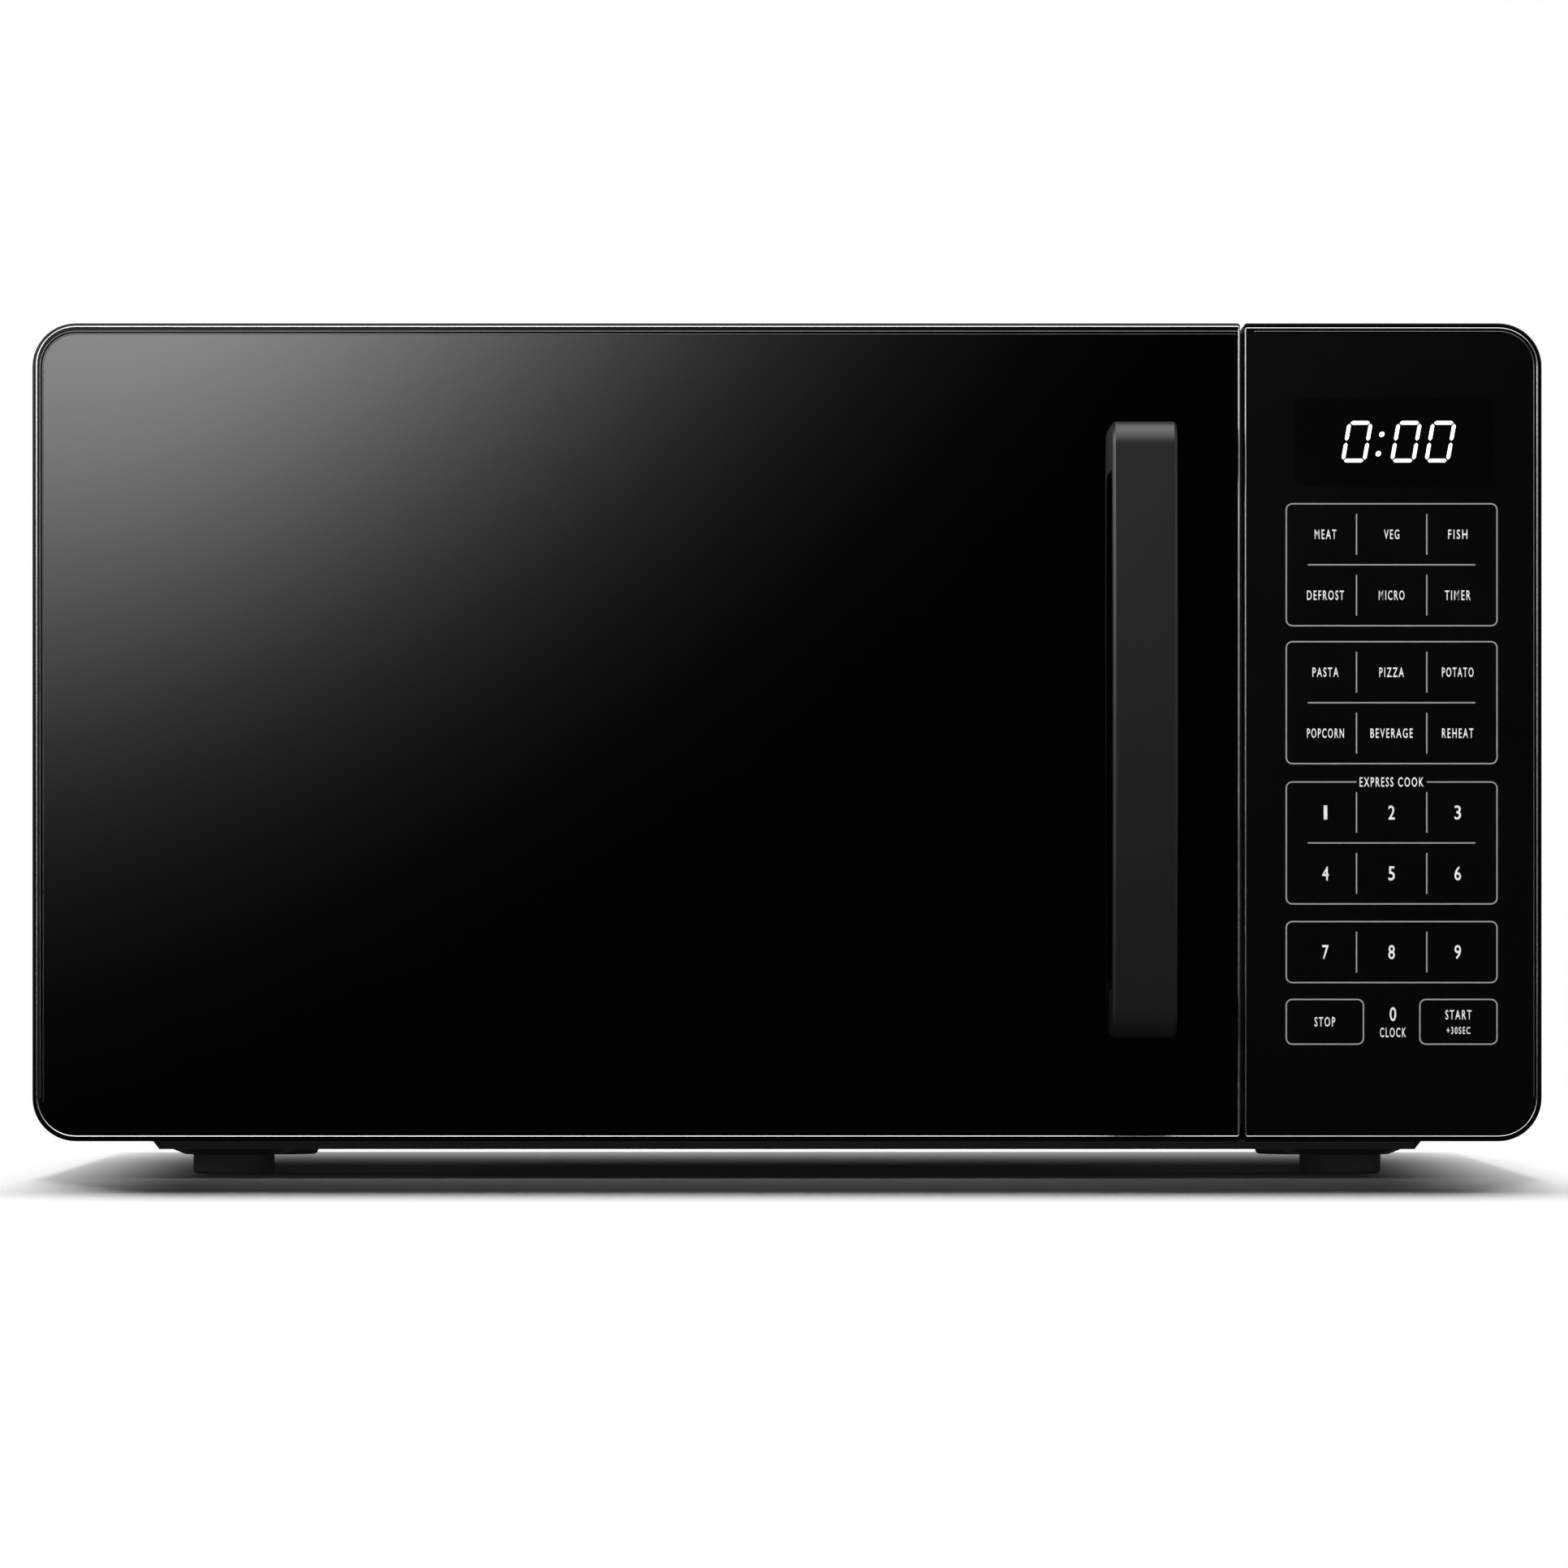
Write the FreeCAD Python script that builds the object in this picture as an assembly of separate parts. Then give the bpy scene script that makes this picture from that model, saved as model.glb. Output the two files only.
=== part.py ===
import FreeCAD, Part
import math
import os

from FreeCAD import Vector

# Microwave oven, 20 litre class, with a side-hung glass door and a touch panel.
# Own frame: +X to the right, +Y to the back, +Z up, millimetres.
# The origin is the centre of the bottom face of the whole oven's bounding box.

# ---- driving dimensions -------------------------------------------------------------------
WIDTH = 452.0
DEPTH = 376.0
HEIGHT = 256.0
SHEET = 0.8
OVERCUT = 1.0
CLOSE = 0.001

# Stations from front to back
HANDLE_PROJECTION = 34.0
DOOR_DEPTH = 27.0
DOOR_GAP = 1.0
SPACER_LENGTH = 4.8
HALF_WIDTH = WIDTH / 2
Y_HANDLE = -DEPTH / 2
Y_GLASS = Y_HANDLE + HANDLE_PROJECTION
Y_DOOR_BACK = Y_GLASS + DOOR_DEPTH
Y_FRONT = Y_DOOR_BACK + DOOR_GAP
Y_PLATE_BACK = Y_FRONT + SHEET
Y_SPACER_TIP = DEPTH / 2
Y_PANEL_BACK = Y_SPACER_TIP - SPACER_LENGTH
Y_LIP_BACK = Y_PANEL_BACK + SHEET

# Heights
FOOT_HEIGHT = 6.0
Z_BASE = 8.0
Z_FRONT = 11.0
Z_SIDE = 15.5
Z_MIDDLE = (Z_FRONT + HEIGHT) / 2

# Front: the door on the left, the control panel on the right, and a seam between them
DOOR_LEFT = -HALF_WIDTH
DOOR_RIGHT = 135.7
SEAM = 1.1
PANEL_LEFT = DOOR_RIGHT + SEAM
CORNER = 13.0
EDGE_CORNER = 1.0

# Enclosure
CABINET_HALF = HALF_WIDTH - 1.0
CABINET_TOP = HEIGHT - 1.0
CABINET_CORNER = 12.0
CABINET_INNER = CABINET_HALF - SHEET
LIP = 12.0
FLANGE_TOP = 30.0
PAN_HALF = 190.0
PAN_STEP = 6.0
FOOT_X = 169.0
FOOT_FRONT_Y = -100.0
FOOT_REAR_Y = 150.0
FOOT_RADIUS = 12.4
FOOT_NECK = 4.0
BOSS_TOP = 20.0
BOSS_BOTTOM = 15.0

# Cavity
CAVITY_LEFT = -208.0
CAVITY_RIGHT = 98.0
CAVITY_FLOOR = 24.0
CAVITY_CEILING = 235.0
CAVITY_BACK = 178.0
CAVITY_BEND = 6.0
PERFORATION = 1.5
PERFORATION_PITCH = 5.0

# Turntable
TABLE_X = (CAVITY_LEFT + CAVITY_RIGHT) / 2
TABLE_Y = (Y_PLATE_BACK + CAVITY_BACK) / 2
TRAY_RADIUS = 127.5
TRAY_UNDERSIDE = CAVITY_FLOOR + 16.4
ROLLER_TRACK = 88.0
ROLLER_RADIUS = 7.9
ROLLER_CLEARANCE = 0.3
ROLLER_Z = CAVITY_FLOOR + ROLLER_CLEARANCE + ROLLER_RADIUS
ROLLER_WIDTH = 8.0
AXLE_RADIUS = 1.5
RUNNING = 0.05
STEM_RADIUS = 5.0
ARM_COUNT = 3

# Door hinge: the axis stands near the door's left rear edge
DOOR_EDGE_ROUND = 7.0
HINGE_X = DOOR_LEFT + DOOR_EDGE_ROUND
HINGE_Y = Y_DOOR_BACK - 9.0
HINGE_PIN = 2.5
HINGE_TAB_Z = 22.0
HINGE_TAB = 2.0
HINGE_TAB_LEFT = -223.0
HINGE_TAB_RIGHT = -210.0
HINGE_TAB_FRONT = HINGE_Y - 5.0

# Door layers
GLASS_THICK = 3.6
LEDGE_THICK = 2.2
WALL = 2.0
BEZEL_SIDE = 3.0
BEZEL_BOTTOM = 1.7
BEZEL_PROUD = 0.4
GLASS_GAP = 0.3
Y_LEDGE = Y_GLASS + GLASS_THICK + 0.2
Y_LEDGE_BACK = Y_LEDGE + LEDGE_THICK
Y_SCREEN_PLATE = Y_DOOR_BACK - 4.0
DOOR_PLATE_LEFT = -214.0
DOOR_PLATE_RIGHT = 131.0
DOOR_PLATE_BOTTOM = 16.0
DOOR_PLATE_TOP = 251.0
SCREEN_THICK = 0.6
WINDOW_X = (-176.0, 94.0)
WINDOW_Z = (56.0, 211.0)

# Handle
HANDLE_X = (96.5, 115.5)
HANDLE_Z = (42.2, 225.2)
HANDLE_BOW = 3.5
HANDLE_CORNER = 8.0
HANDLE_POST = 14.0
HANDLE_STRAP = 9.0
HANDLE_CHAMFER = 0.8
HANDLE_SCREW_INSET = 5.6

# Latch and interlock
LATCH_X = (109.0, 115.0)
LATCH_UPPER = 192.0
LATCH_LOWER = 76.0
LATCH_ARM = 5.0
LATCH_TIP = 4.0
LATCH_BAR_TOP = LATCH_UPPER + 9.0
SPRING_TOP = LATCH_UPPER + 21.0
Y_LATCH_END = -106.0
Y_LEDGE_FACE = -112.5
LEDGE_GAP = 0.5
SWITCH_LENGTH = 28.0
SWITCH_DEPTH = 16.0
SWITCH_X = (105.0, 115.0)
PLUNGER_RADIUS = 2.0
LEVER_PIVOT_Z = 140.0
LEVER_PIVOT_Y = -104.0
SECONDARY_Z = 82.0
MONITOR_Z = 112.0

# Control panel
PANEL_FACE = 0.8
DISPLAY_X = (151.6, 211.8)
DISPLAY_Z = (206.9, 233.8)

# Electronics compartment
MAGNETRON_X = 132.0
MAGNETRON_Y = 22.0
MAGNETRON_Z = 185.0
FAN_X = 161.5
FAN_Z = 178.0
FAN_BORE = 55.0
FAN_RADIUS = 51.0
LAMP_Y = 105.0
LAMP_Z = 205.0
GLAND_X = 196.0
GLAND_Z = 45.0
CORD_RADIUS = 3.6

X_AXIS = Vector(1, 0, 0)
Y_AXIS = Vector(0, 1, 0)
Z_AXIS = Vector(0, 0, 1)


# ---- helpers ------------------------------------------------------------------------------
def box(x, y, z):
    """A block between the low and the high value of each (low, high) pair."""
    return Part.makeBox(x[1] - x[0], y[1] - y[0], z[1] - z[0], Vector(x[0], y[0], z[0]))


def rod(radius, start, length, axis=Z_AXIS):
    """A cylinder from start along axis."""
    return Part.makeCylinder(radius, length, start, axis)


def place(axis, u, v, w):
    """The point that a profile's (u, v) has at w along the extrusion axis."""
    if axis == X_AXIS:
        return Vector(w, u, v)
    if axis == Y_AXIS:
        return Vector(u, w, v)
    return Vector(u, v, w)


def straight(start, end):
    """The edge between two points, or none where they meet."""
    if start.distanceToPoint(end) < CLOSE:
        return []
    return [Part.LineSegment(start, end).toShape()]


def slab(u, v, w, radii, axis=Y_AXIS):
    """A rectangle u by v with rounded corners, extruded over w along axis.

    The four radii go round from the low corner: low-low, high-low, high-high, low-high.
    """
    corners = ((u[0], v[0], 1, 1), (u[1], v[0], -1, 1), (u[1], v[1], -1, -1), (u[0], v[1], 1, -1))
    edges = []
    first = None
    last = None
    for quarter, (cu, cv, su, sv) in enumerate(corners):
        radius = radii[quarter]
        angles = [math.radians(180 + 90 * quarter + step) for step in (0, 45, 90)]
        centre = (cu + su * radius, cv + sv * radius)
        points = [
            place(axis, centre[0] + radius * math.cos(a), centre[1] + radius * math.sin(a), w[0])
            for a in angles
        ]
        if last is not None:
            edges += straight(last, points[0])
        if radius > 0:
            edges.append(Part.Arc(*points).toShape())
        first = first or points[0]
        last = points[2]
    edges += straight(last, first)
    return Part.Face(Part.Wire(edges)).extrude(axis * (w[1] - w[0]))


def polygon(points, axis, w):
    """A polygon of (u, v) points, extruded over w along axis."""
    path = [place(axis, u, v, w[0]) for u, v in points]
    return Part.Face(Part.makePolygon(path + path[:1])).extrude(axis * (w[1] - w[0]))


def inset(pair, amount):
    """A (low, high) pair drawn in by amount at both ends."""
    return (pair[0] + amount, pair[1] - amount)


def fuse(*shapes):
    """One solid out of touching or overlapping shapes."""
    result = shapes[0]
    for shape in shapes[1:]:
        result = result.fuse(shape)
    return result.removeSplitter()


def cut(shape, *tools):
    """The shape less each tool."""
    return shape.cut(list(tools))


def group(*shapes):
    """Separate solids that share one node."""
    return Part.makeCompound(list(shapes))


def upside_down(shape):
    """The shape mirrored about the front's middle height."""
    return shape.mirror(Vector(0, 0, Z_MIDDLE), Z_AXIS)


def hole_grid(axis, u, v, counts, w):
    """Small round holes on a square pitch, centred on (u, v)."""
    holes = []
    for column in range(counts[0]):
        for row in range(counts[1]):
            du = (column - (counts[0] - 1) / 2) * PERFORATION_PITCH
            dv = (row - (counts[1] - 1) / 2) * PERFORATION_PITCH
            start = place(axis, u + du, v + dv, w[0])
            holes.append(rod(PERFORATION, start, w[1] - w[0], axis))
    return holes


def slots(axis, u_starts, u_size, v_starts, v_size, w):
    """Round-ended slots that run along v, one at each pair of starts."""
    end = u_size / 2
    return [
        slab((u, u + u_size), (v, v + v_size), w, (end,) * 4, axis)
        for u in u_starts
        for v in v_starts
    ]


def steps(start, pitch, count):
    """Evenly spaced values."""
    return [start + pitch * index for index in range(count)]


def foot_centres():
    """The plan positions of the four feet."""
    return [(x, y) for x in (-FOOT_X, FOOT_X) for y in (FOOT_FRONT_Y, FOOT_REAR_Y)]


# ---- enclosure ----------------------------------------------------------------------------
def outer_cabinet():
    """One folded sheet over the top and both sides, with a lip round the back."""
    length = (Y_PLATE_BACK, Y_LIP_BACK)
    outer_x = (-CABINET_HALF, CABINET_HALF)
    inner_x = inset(outer_x, SHEET)
    bend = CABINET_CORNER - SHEET
    outer = slab(outer_x, (Z_SIDE, CABINET_TOP), length, (0, 0, CABINET_CORNER, CABINET_CORNER))
    inside = slab(
        inner_x,
        (Z_SIDE - OVERCUT, CABINET_TOP - SHEET),
        (length[0] - OVERCUT, length[1] + OVERCUT),
        (0, 0, bend, bend),
    )
    lip_y = (Y_PANEL_BACK, Y_LIP_BACK)
    lip = slab(inner_x, (Z_SIDE, CABINET_TOP - SHEET), lip_y, (0, 0, bend, bend))
    lip_window = box(
        inset(inner_x, LIP),
        (lip_y[0] - OVERCUT, lip_y[1] + OVERCUT),
        (Z_SIDE - OVERCUT, CABINET_TOP - SHEET - LIP),
    )
    through_right = (CABINET_INNER - OVERCUT, CABINET_HALF + OVERCUT)
    through_left = (-CABINET_HALF - OVERCUT, -CABINET_INNER + OVERCUT)
    intake = slots(X_AXIS, steps(60.0, 9.0, 10), 4.0, (60.0, 92.0), 26.0, through_right)
    exhaust = slots(X_AXIS, steps(90.0, 9.0, 8), 4.0, (185.0,), 30.0, through_left)
    screw_holes = [rod(1.8, Vector(x, lip_y[0] - OVERCUT, z), 3.0, Y_AXIS) for x, z in screw_places()]
    return cut(fuse(cut(outer, inside), cut(lip, lip_window)), *intake, *exhaust, *screw_holes)


def base_plate():
    """A pressed pan: a lowered middle, raised sides with flanges, and a cone for each foot."""
    half = [
        (PAN_HALF, Z_BASE),
        (PAN_HALF + PAN_STEP, Z_SIDE),
        (CABINET_INNER, Z_SIDE),
        (CABINET_INNER, FLANGE_TOP),
        (CABINET_INNER - SHEET, FLANGE_TOP),
        (CABINET_INNER - SHEET, Z_SIDE + SHEET),
        (PAN_HALF + PAN_STEP - SHEET / 2, Z_SIDE + SHEET),
        (PAN_HALF - SHEET / 2, Z_BASE + SHEET),
    ]
    outline = half + [(-x, z) for x, z in reversed(half)]
    pan = polygon(outline, Y_AXIS, (Y_PLATE_BACK, Y_PANEL_BACK))
    ends = [
        box((-PAN_HALF, PAN_HALF), (y, y + SHEET), (Z_BASE, Z_SIDE))
        for y in (Y_FRONT, Y_PANEL_BACK)
    ]
    pan = fuse(pan, *ends)
    drop = Z_BASE - FOOT_HEIGHT
    for x, y in foot_centres():
        pan = cut(pan, rod(BOSS_TOP, Vector(x, y, Z_BASE - OVERCUT), SHEET + 2 * OVERCUT))
        cone = Part.makeCone(BOSS_BOTTOM, BOSS_TOP, drop, Vector(x, y, FOOT_HEIGHT))
        rim = rod(BOSS_TOP, Vector(x, y, Z_BASE), SHEET)
        dish = Part.makeCone(
            BOSS_BOTTOM - SHEET / 2, BOSS_TOP - SHEET / 2, drop, Vector(x, y, FOOT_HEIGHT + SHEET)
        )
        stud_hole = rod(FOOT_NECK + 0.2, Vector(x, y, FOOT_HEIGHT - OVERCUT), 4.0)
        pan = fuse(pan, cut(fuse(cone, rim), dish, stud_hole))
    through = (Z_BASE - OVERCUT, Z_BASE + 2 * OVERCUT)
    vents = slots(Z_AXIS, steps(104.0, 8.0, 4), 3.6, (86.0,), 44.0, through)
    return cut(pan, *vents)


def screw_places():
    """Where the cabinet's screws go in, as (x, z) on the back."""
    sides = [(x, z) for x in (-218.0, 218.0) for z in (50.0, 205.0)]
    return sides + [(-80.0, 248.0), (80.0, 248.0)]


def rear_panel():
    """The flat back, with vents, the cord's hole, and holes for spacers and screws."""
    y = (Y_PANEL_BACK - SHEET, Y_PANEL_BACK)
    bend = CABINET_CORNER - 2 * SHEET
    half = CABINET_INNER - SHEET - 0.1
    sheet = slab((-half, half), (Z_SIDE + SHEET, CABINET_TOP - 2 * SHEET), y, (0, 0, bend, bend))
    through = (y[0] - OVERCUT, y[1] + OVERCUT)
    fan_vents = slots(Y_AXIS, steps(118.0, 9.0, 10), 4.0, (136.0, 170.0), 28.0, through)
    steam_vents = slots(Y_AXIS, steps(-190.0, 9.0, 8), 4.0, (190.0,), 30.0, through)
    screws = [rod(1.8, Vector(x, through[0], z), 3.0, Y_AXIS) for x, z in screw_places()]
    plugs = [rod(3.1, Vector(x, through[0], z), 3.0, Y_AXIS) for x, z in spacer_places()]
    gland = rod(8.2, Vector(GLAND_X, through[0], GLAND_Z), 3.0, Y_AXIS)
    return cut(sheet, *fan_vents, *steam_vents, *screws, *plugs, gland)


def spacer_places():
    """Where the two rear spacers stand, as (x, z) on the back."""
    return [(-150.0, 120.0), (60.0, 120.0)]


def rear_spacers():
    """Two plastic plugs that hold the back off a wall."""
    plugs = []
    for x, z in spacer_places():
        head = rod(7.0, Vector(x, Y_PANEL_BACK, z), SPACER_LENGTH, Y_AXIS)
        neck = rod(3.0, Vector(x, Y_PANEL_BACK - 2.4, z), 2.4, Y_AXIS)
        tip_edges = [edge for edge in head.Edges if edge.BoundBox.YMin > Y_SPACER_TIP - CLOSE]
        plugs.append(fuse(head.makeFillet(1.5, tip_edges), neck))
    return group(*plugs)


def cabinet_screws():
    """Six pan-head screws through the cabinet's rear lip."""
    screws = []
    for x, z in screw_places():
        head = rod(3.6, Vector(x, Y_LIP_BACK, z), 1.8, Y_AXIS)
        shank = rod(1.6, Vector(x, Y_LIP_BACK - 6.0, z), 6.0, Y_AXIS)
        cross = [
            box((x - 2.0, x + 2.0), (Y_LIP_BACK + 0.9, Y_LIP_BACK + 2.0), (z - 0.4, z + 0.4)),
            box((x - 0.4, x + 0.4), (Y_LIP_BACK + 0.9, Y_LIP_BACK + 2.0), (z - 2.0, z + 2.0)),
        ]
        screws.append(cut(fuse(head, shank), *cross))
    return group(*screws)


def cord_gland():
    """The strain relief bush in the back, with the cord's bore through it."""
    start = Y_PANEL_BACK - SHEET
    outside = rod(11.0, Vector(GLAND_X, Y_PANEL_BACK, GLAND_Z), 3.8, Y_AXIS)
    waist = rod(8.0, Vector(GLAND_X, start, GLAND_Z), SHEET, Y_AXIS)
    inside = rod(10.0, Vector(GLAND_X, start - 9.4, GLAND_Z), 9.4, Y_AXIS)
    bore = rod(CORD_RADIUS, Vector(GLAND_X, start - 10.4, GLAND_Z), 16.0, Y_AXIS)
    return cut(fuse(inside, waist, outside), bore)


def feet():
    """Four rubber feet, each snapped through a foot cone by its barbed stud."""
    pads = []
    for x, y in foot_centres():
        pad = rod(FOOT_RADIUS, Vector(x, y, 0), FOOT_HEIGHT)
        lower_edge = [edge for edge in pad.Edges if edge.BoundBox.ZMax < 0.01]
        pad = pad.makeFillet(1.5, lower_edge)
        stud = rod(FOOT_NECK, Vector(x, y, FOOT_HEIGHT), SHEET)
        barb = Part.makeCone(FOOT_NECK + 1.5, FOOT_NECK - 1.0, 3.0, Vector(x, y, FOOT_HEIGHT + SHEET))
        pads.append(fuse(pad, stud, barb))
    return group(*pads)


def hinge_slot():
    """The lower hinge tab's way through the front plate."""
    x = (HINGE_TAB_LEFT - 0.6, HINGE_TAB_RIGHT + 0.6)
    y = (Y_FRONT - OVERCUT, Y_PLATE_BACK + OVERCUT)
    return box(x, y, (HINGE_TAB_Z - 0.6, HINGE_TAB_Z + HINGE_TAB + 0.6))


def front_plate():
    """The flat front sheet round the cavity's mouth."""
    y = (Y_FRONT, Y_PLATE_BACK)
    through = (y[0] - OVERCUT, y[1] + OVERCUT)
    sheet = slab(
        (-CABINET_HALF, CABINET_HALF),
        (Z_SIDE, CABINET_TOP),
        y,
        (0, 0, CABINET_CORNER, CABINET_CORNER),
    )
    mouth = slab((CAVITY_LEFT, CAVITY_RIGHT), (CAVITY_FLOOR, CAVITY_CEILING), through, (4,) * 4)
    wiring = slab((145.0, 215.0), (40.0, 235.0), through, (4,) * 4)
    hooks = [
        box((107.0, 117.0), through, (z - LATCH_ARM - LEDGE_GAP, z + 11.0))
        for z in (LATCH_UPPER, LATCH_LOWER)
    ]
    return cut(sheet, mouth, wiring, *hooks, hinge_slot(), upside_down(hinge_slot()))


# ---- cavity and microwave path ------------------------------------------------------------
def cavity_wrap():
    """Floor, back and ceiling of the cavity in one folded sheet."""
    x = (CAVITY_LEFT, CAVITY_RIGHT)
    bend = CAVITY_BEND
    outer = slab(
        (Y_PLATE_BACK, CAVITY_BACK + SHEET),
        (CAVITY_FLOOR - SHEET, CAVITY_CEILING + SHEET),
        x,
        (0, bend + SHEET, bend + SHEET, 0),
        X_AXIS,
    )
    inside = slab(
        (Y_PLATE_BACK - OVERCUT, CAVITY_BACK),
        (CAVITY_FLOOR, CAVITY_CEILING),
        (x[0] - OVERCUT, x[1] + OVERCUT),
        (0, bend, bend, 0),
        X_AXIS,
    )
    shaft_hole = rod(STEM_RADIUS + 2.0, Vector(TABLE_X, TABLE_Y, CAVITY_FLOOR - 2.0), 4.0)
    return cut(outer, inside, shaft_hole)


def cavity_side(x):
    """A flat side of the cavity, rounded like the wrap that it closes."""
    bend = CAVITY_BEND + SHEET
    return slab(
        (Y_PLATE_BACK, CAVITY_BACK + SHEET),
        (CAVITY_FLOOR - SHEET, CAVITY_CEILING + SHEET),
        x,
        (0, bend, bend, 0),
        X_AXIS,
    )


def cavity_side_left():
    """The hinge side, with the steam outlet's holes."""
    x = (CAVITY_LEFT - SHEET, CAVITY_LEFT)
    holes = hole_grid(X_AXIS, 125.0, 200.0, (6, 5), (x[0] - OVERCUT, x[1] + OVERCUT))
    return cut(cavity_side(x), *holes)


def cavity_side_right():
    """The electronics side: waveguide mouth, lamp holes and air inlet holes."""
    x = (CAVITY_RIGHT, CAVITY_RIGHT + SHEET)
    through = (x[0] - OVERCUT, x[1] + OVERCUT)
    mouth = slab((5.0, 65.0), (152.0, 204.0), through, (4,) * 4, X_AXIS)
    lamp = hole_grid(X_AXIS, LAMP_Y, LAMP_Z, (5, 5), through)
    inlet = hole_grid(X_AXIS, -55.0, 190.0, (6, 5), through)
    return cut(cavity_side(x), mouth, *lamp, *inlet)


def mica_cover():
    """The mica sheet over the waveguide's mouth."""
    return slab((-2.0, 72.0), (145.0, 211.0), (CAVITY_RIGHT - SHEET, CAVITY_RIGHT), (6,) * 4, X_AXIS)


def waveguide():
    """A sheet duct on the cavity's side, with the antenna's hole in its outer wall."""
    start = CAVITY_RIGHT + SHEET
    y = (MAGNETRON_Y - 42.0, MAGNETRON_Y + 53.0)
    z = (MAGNETRON_Z - 45.0, MAGNETRON_Z + 40.0)
    outer = box((start, MAGNETRON_X), y, z)
    inside = box((start - OVERCUT, MAGNETRON_X - SHEET), inset(y, SHEET), inset(z, SHEET))
    antenna = rod(12.0, Vector(MAGNETRON_X - 2.0, MAGNETRON_Y, MAGNETRON_Z), 4.0, X_AXIS)
    return cut(outer, inside, antenna)


def magnetron_frame():
    """The magnetron's steel yoke, open to the air along Y."""
    x = (MAGNETRON_X, MAGNETRON_X + 52.0)
    y = (MAGNETRON_Y - 40.0, MAGNETRON_Y + 40.0)
    z = (MAGNETRON_Z - 40.0, MAGNETRON_Z + 40.0)
    tunnel = box(inset(x, 2.0), (y[0] - OVERCUT, y[1] + OVERCUT), inset(z, 2.0))
    antenna = rod(10.0, Vector(x[0] - OVERCUT, MAGNETRON_Y, MAGNETRON_Z), 4.0, X_AXIS)
    return cut(box(x, y, z), tunnel, antenna)


def magnetron_anode():
    """The anode cylinder with its pressed-on cooling fins."""
    start = MAGNETRON_X + 4.0
    anode = rod(20.0, Vector(start, MAGNETRON_Y, MAGNETRON_Z), 44.0, X_AXIS)
    fins = [
        box(
            (x, x + 0.8),
            (MAGNETRON_Y - 38.0, MAGNETRON_Y + 38.0),
            (MAGNETRON_Z - 37.0, MAGNETRON_Z + 37.0),
        )
        for x in steps(start + 6.0, 7.5, 5)
    ]
    return fuse(anode, *fins)


def magnetron_antenna():
    """The ceramic stem and metal cap that reach into the waveguide."""
    stem = rod(8.0, Vector(MAGNETRON_X - 14.0, MAGNETRON_Y, MAGNETRON_Z), 18.0, X_AXIS)
    cap = rod(7.0, Vector(MAGNETRON_X - 28.0, MAGNETRON_Y, MAGNETRON_Z), 14.0, X_AXIS)
    return fuse(stem, cap)


# ---- high voltage -------------------------------------------------------------------------
CORE_X = (118.0, 184.0)
CORE_Y = (-30.0, 50.0)
CORE_Z = (Z_BASE + SHEET + 2.0, 76.8)
LEG_Y = (-4.0, 24.0)
COIL_WINDOW = 14.0
COIL_Z = (22.0, 65.0)


def transformer_core():
    """The laminated core on its mounting foot, with a window each side of the middle leg."""
    foot = box((CORE_X[0] - 6.0, CORE_X[1] + 4.0), CORE_Y, (Z_BASE + SHEET, CORE_Z[0]))
    through = (CORE_X[0] - OVERCUT, CORE_X[1] + OVERCUT)
    windows = [
        box(through, (LEG_Y[0] - COIL_WINDOW, LEG_Y[0]), COIL_Z),
        box(through, (LEG_Y[1], LEG_Y[1] + COIL_WINDOW), COIL_Z),
    ]
    return cut(fuse(foot, box(CORE_X, CORE_Y, CORE_Z)), *windows)


def transformer_windings():
    """The primary and the secondary coil, one above the other round the middle leg."""
    coils = []
    hole_x = inset(CORE_X, -0.5)
    hole_y = inset(LEG_Y, -0.5)
    for z in ((23.0, 43.0), (44.0, 64.0)):
        outer = slab(inset(CORE_X, -12.0), inset(LEG_Y, 1.5 - COIL_WINDOW), z, (10,) * 4, Z_AXIS)
        coils.append(cut(outer, box(hole_x, hole_y, (z[0] - OVERCUT, z[1] + OVERCUT))))
    return group(*coils)


def capacitor():
    """The oval high-voltage capacitor with its two blade terminals."""
    can = slab((120.0, 154.0), (-100.0, -50.0), (Z_BASE + SHEET, 92.0), (16.9,) * 4, Z_AXIS)
    blades = [box((134.0, 140.0), (y, y + 1.0), (92.0, 102.0)) for y in (-88.0, -62.0)]
    return fuse(can, *blades)


def hv_diode():
    """The high-voltage diode, bolted to the base by its ring terminal."""
    body = rod(4.0, Vector(172.0, -74.0, 11.0), 20.0)
    terminal = box((166.0, 178.0), (-80.0, -68.0), (Z_BASE + SHEET, 11.0))
    return fuse(body, terminal)


# ---- cooling ------------------------------------------------------------------------------
def fan_shroud():
    """The square frame round the fan, with a bar across its front that carries the motor."""
    y = (150.0, 177.0)
    frame = box((102.0, 221.0), y, (116.0, 233.4))
    bore = rod(FAN_BORE, Vector(FAN_X, y[0] - OVERCUT, FAN_Z), 40.0, Y_AXIS)
    bar = box((102.0, 221.0), (145.0, 150.0), (FAN_Z - 9.0, FAN_Z + 9.0))
    shaft = rod(4.0, Vector(FAN_X, 140.0, FAN_Z), 20.0, Y_AXIS)
    return cut(fuse(cut(frame, bore), bar), shaft)


def fan_stator():
    """The shaded-pole stator: a rotor bore above a leg for the coil."""
    plate = box((134.0, 189.0), (128.0, 144.9), (FAN_Z - 33.0, FAN_Z + 25.0))
    bore = rod(13.5, Vector(FAN_X, 127.0, FAN_Z), 20.0, Y_AXIS)
    window = box((142.0, 181.0), (127.0, 146.0), (FAN_Z - 23.0, FAN_Z - 17.0))
    return cut(plate, bore, window)


def fan_coil():
    """The coil wound round the stator's lower leg."""
    bobbin = box((144.0, 179.0), (122.5, 149.5), (FAN_Z - 38.0, FAN_Z - 17.5))
    leg = box((142.0, 181.0), (127.8, 145.1), (FAN_Z - 33.2, FAN_Z - 22.8))
    return cut(bobbin, leg)


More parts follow.
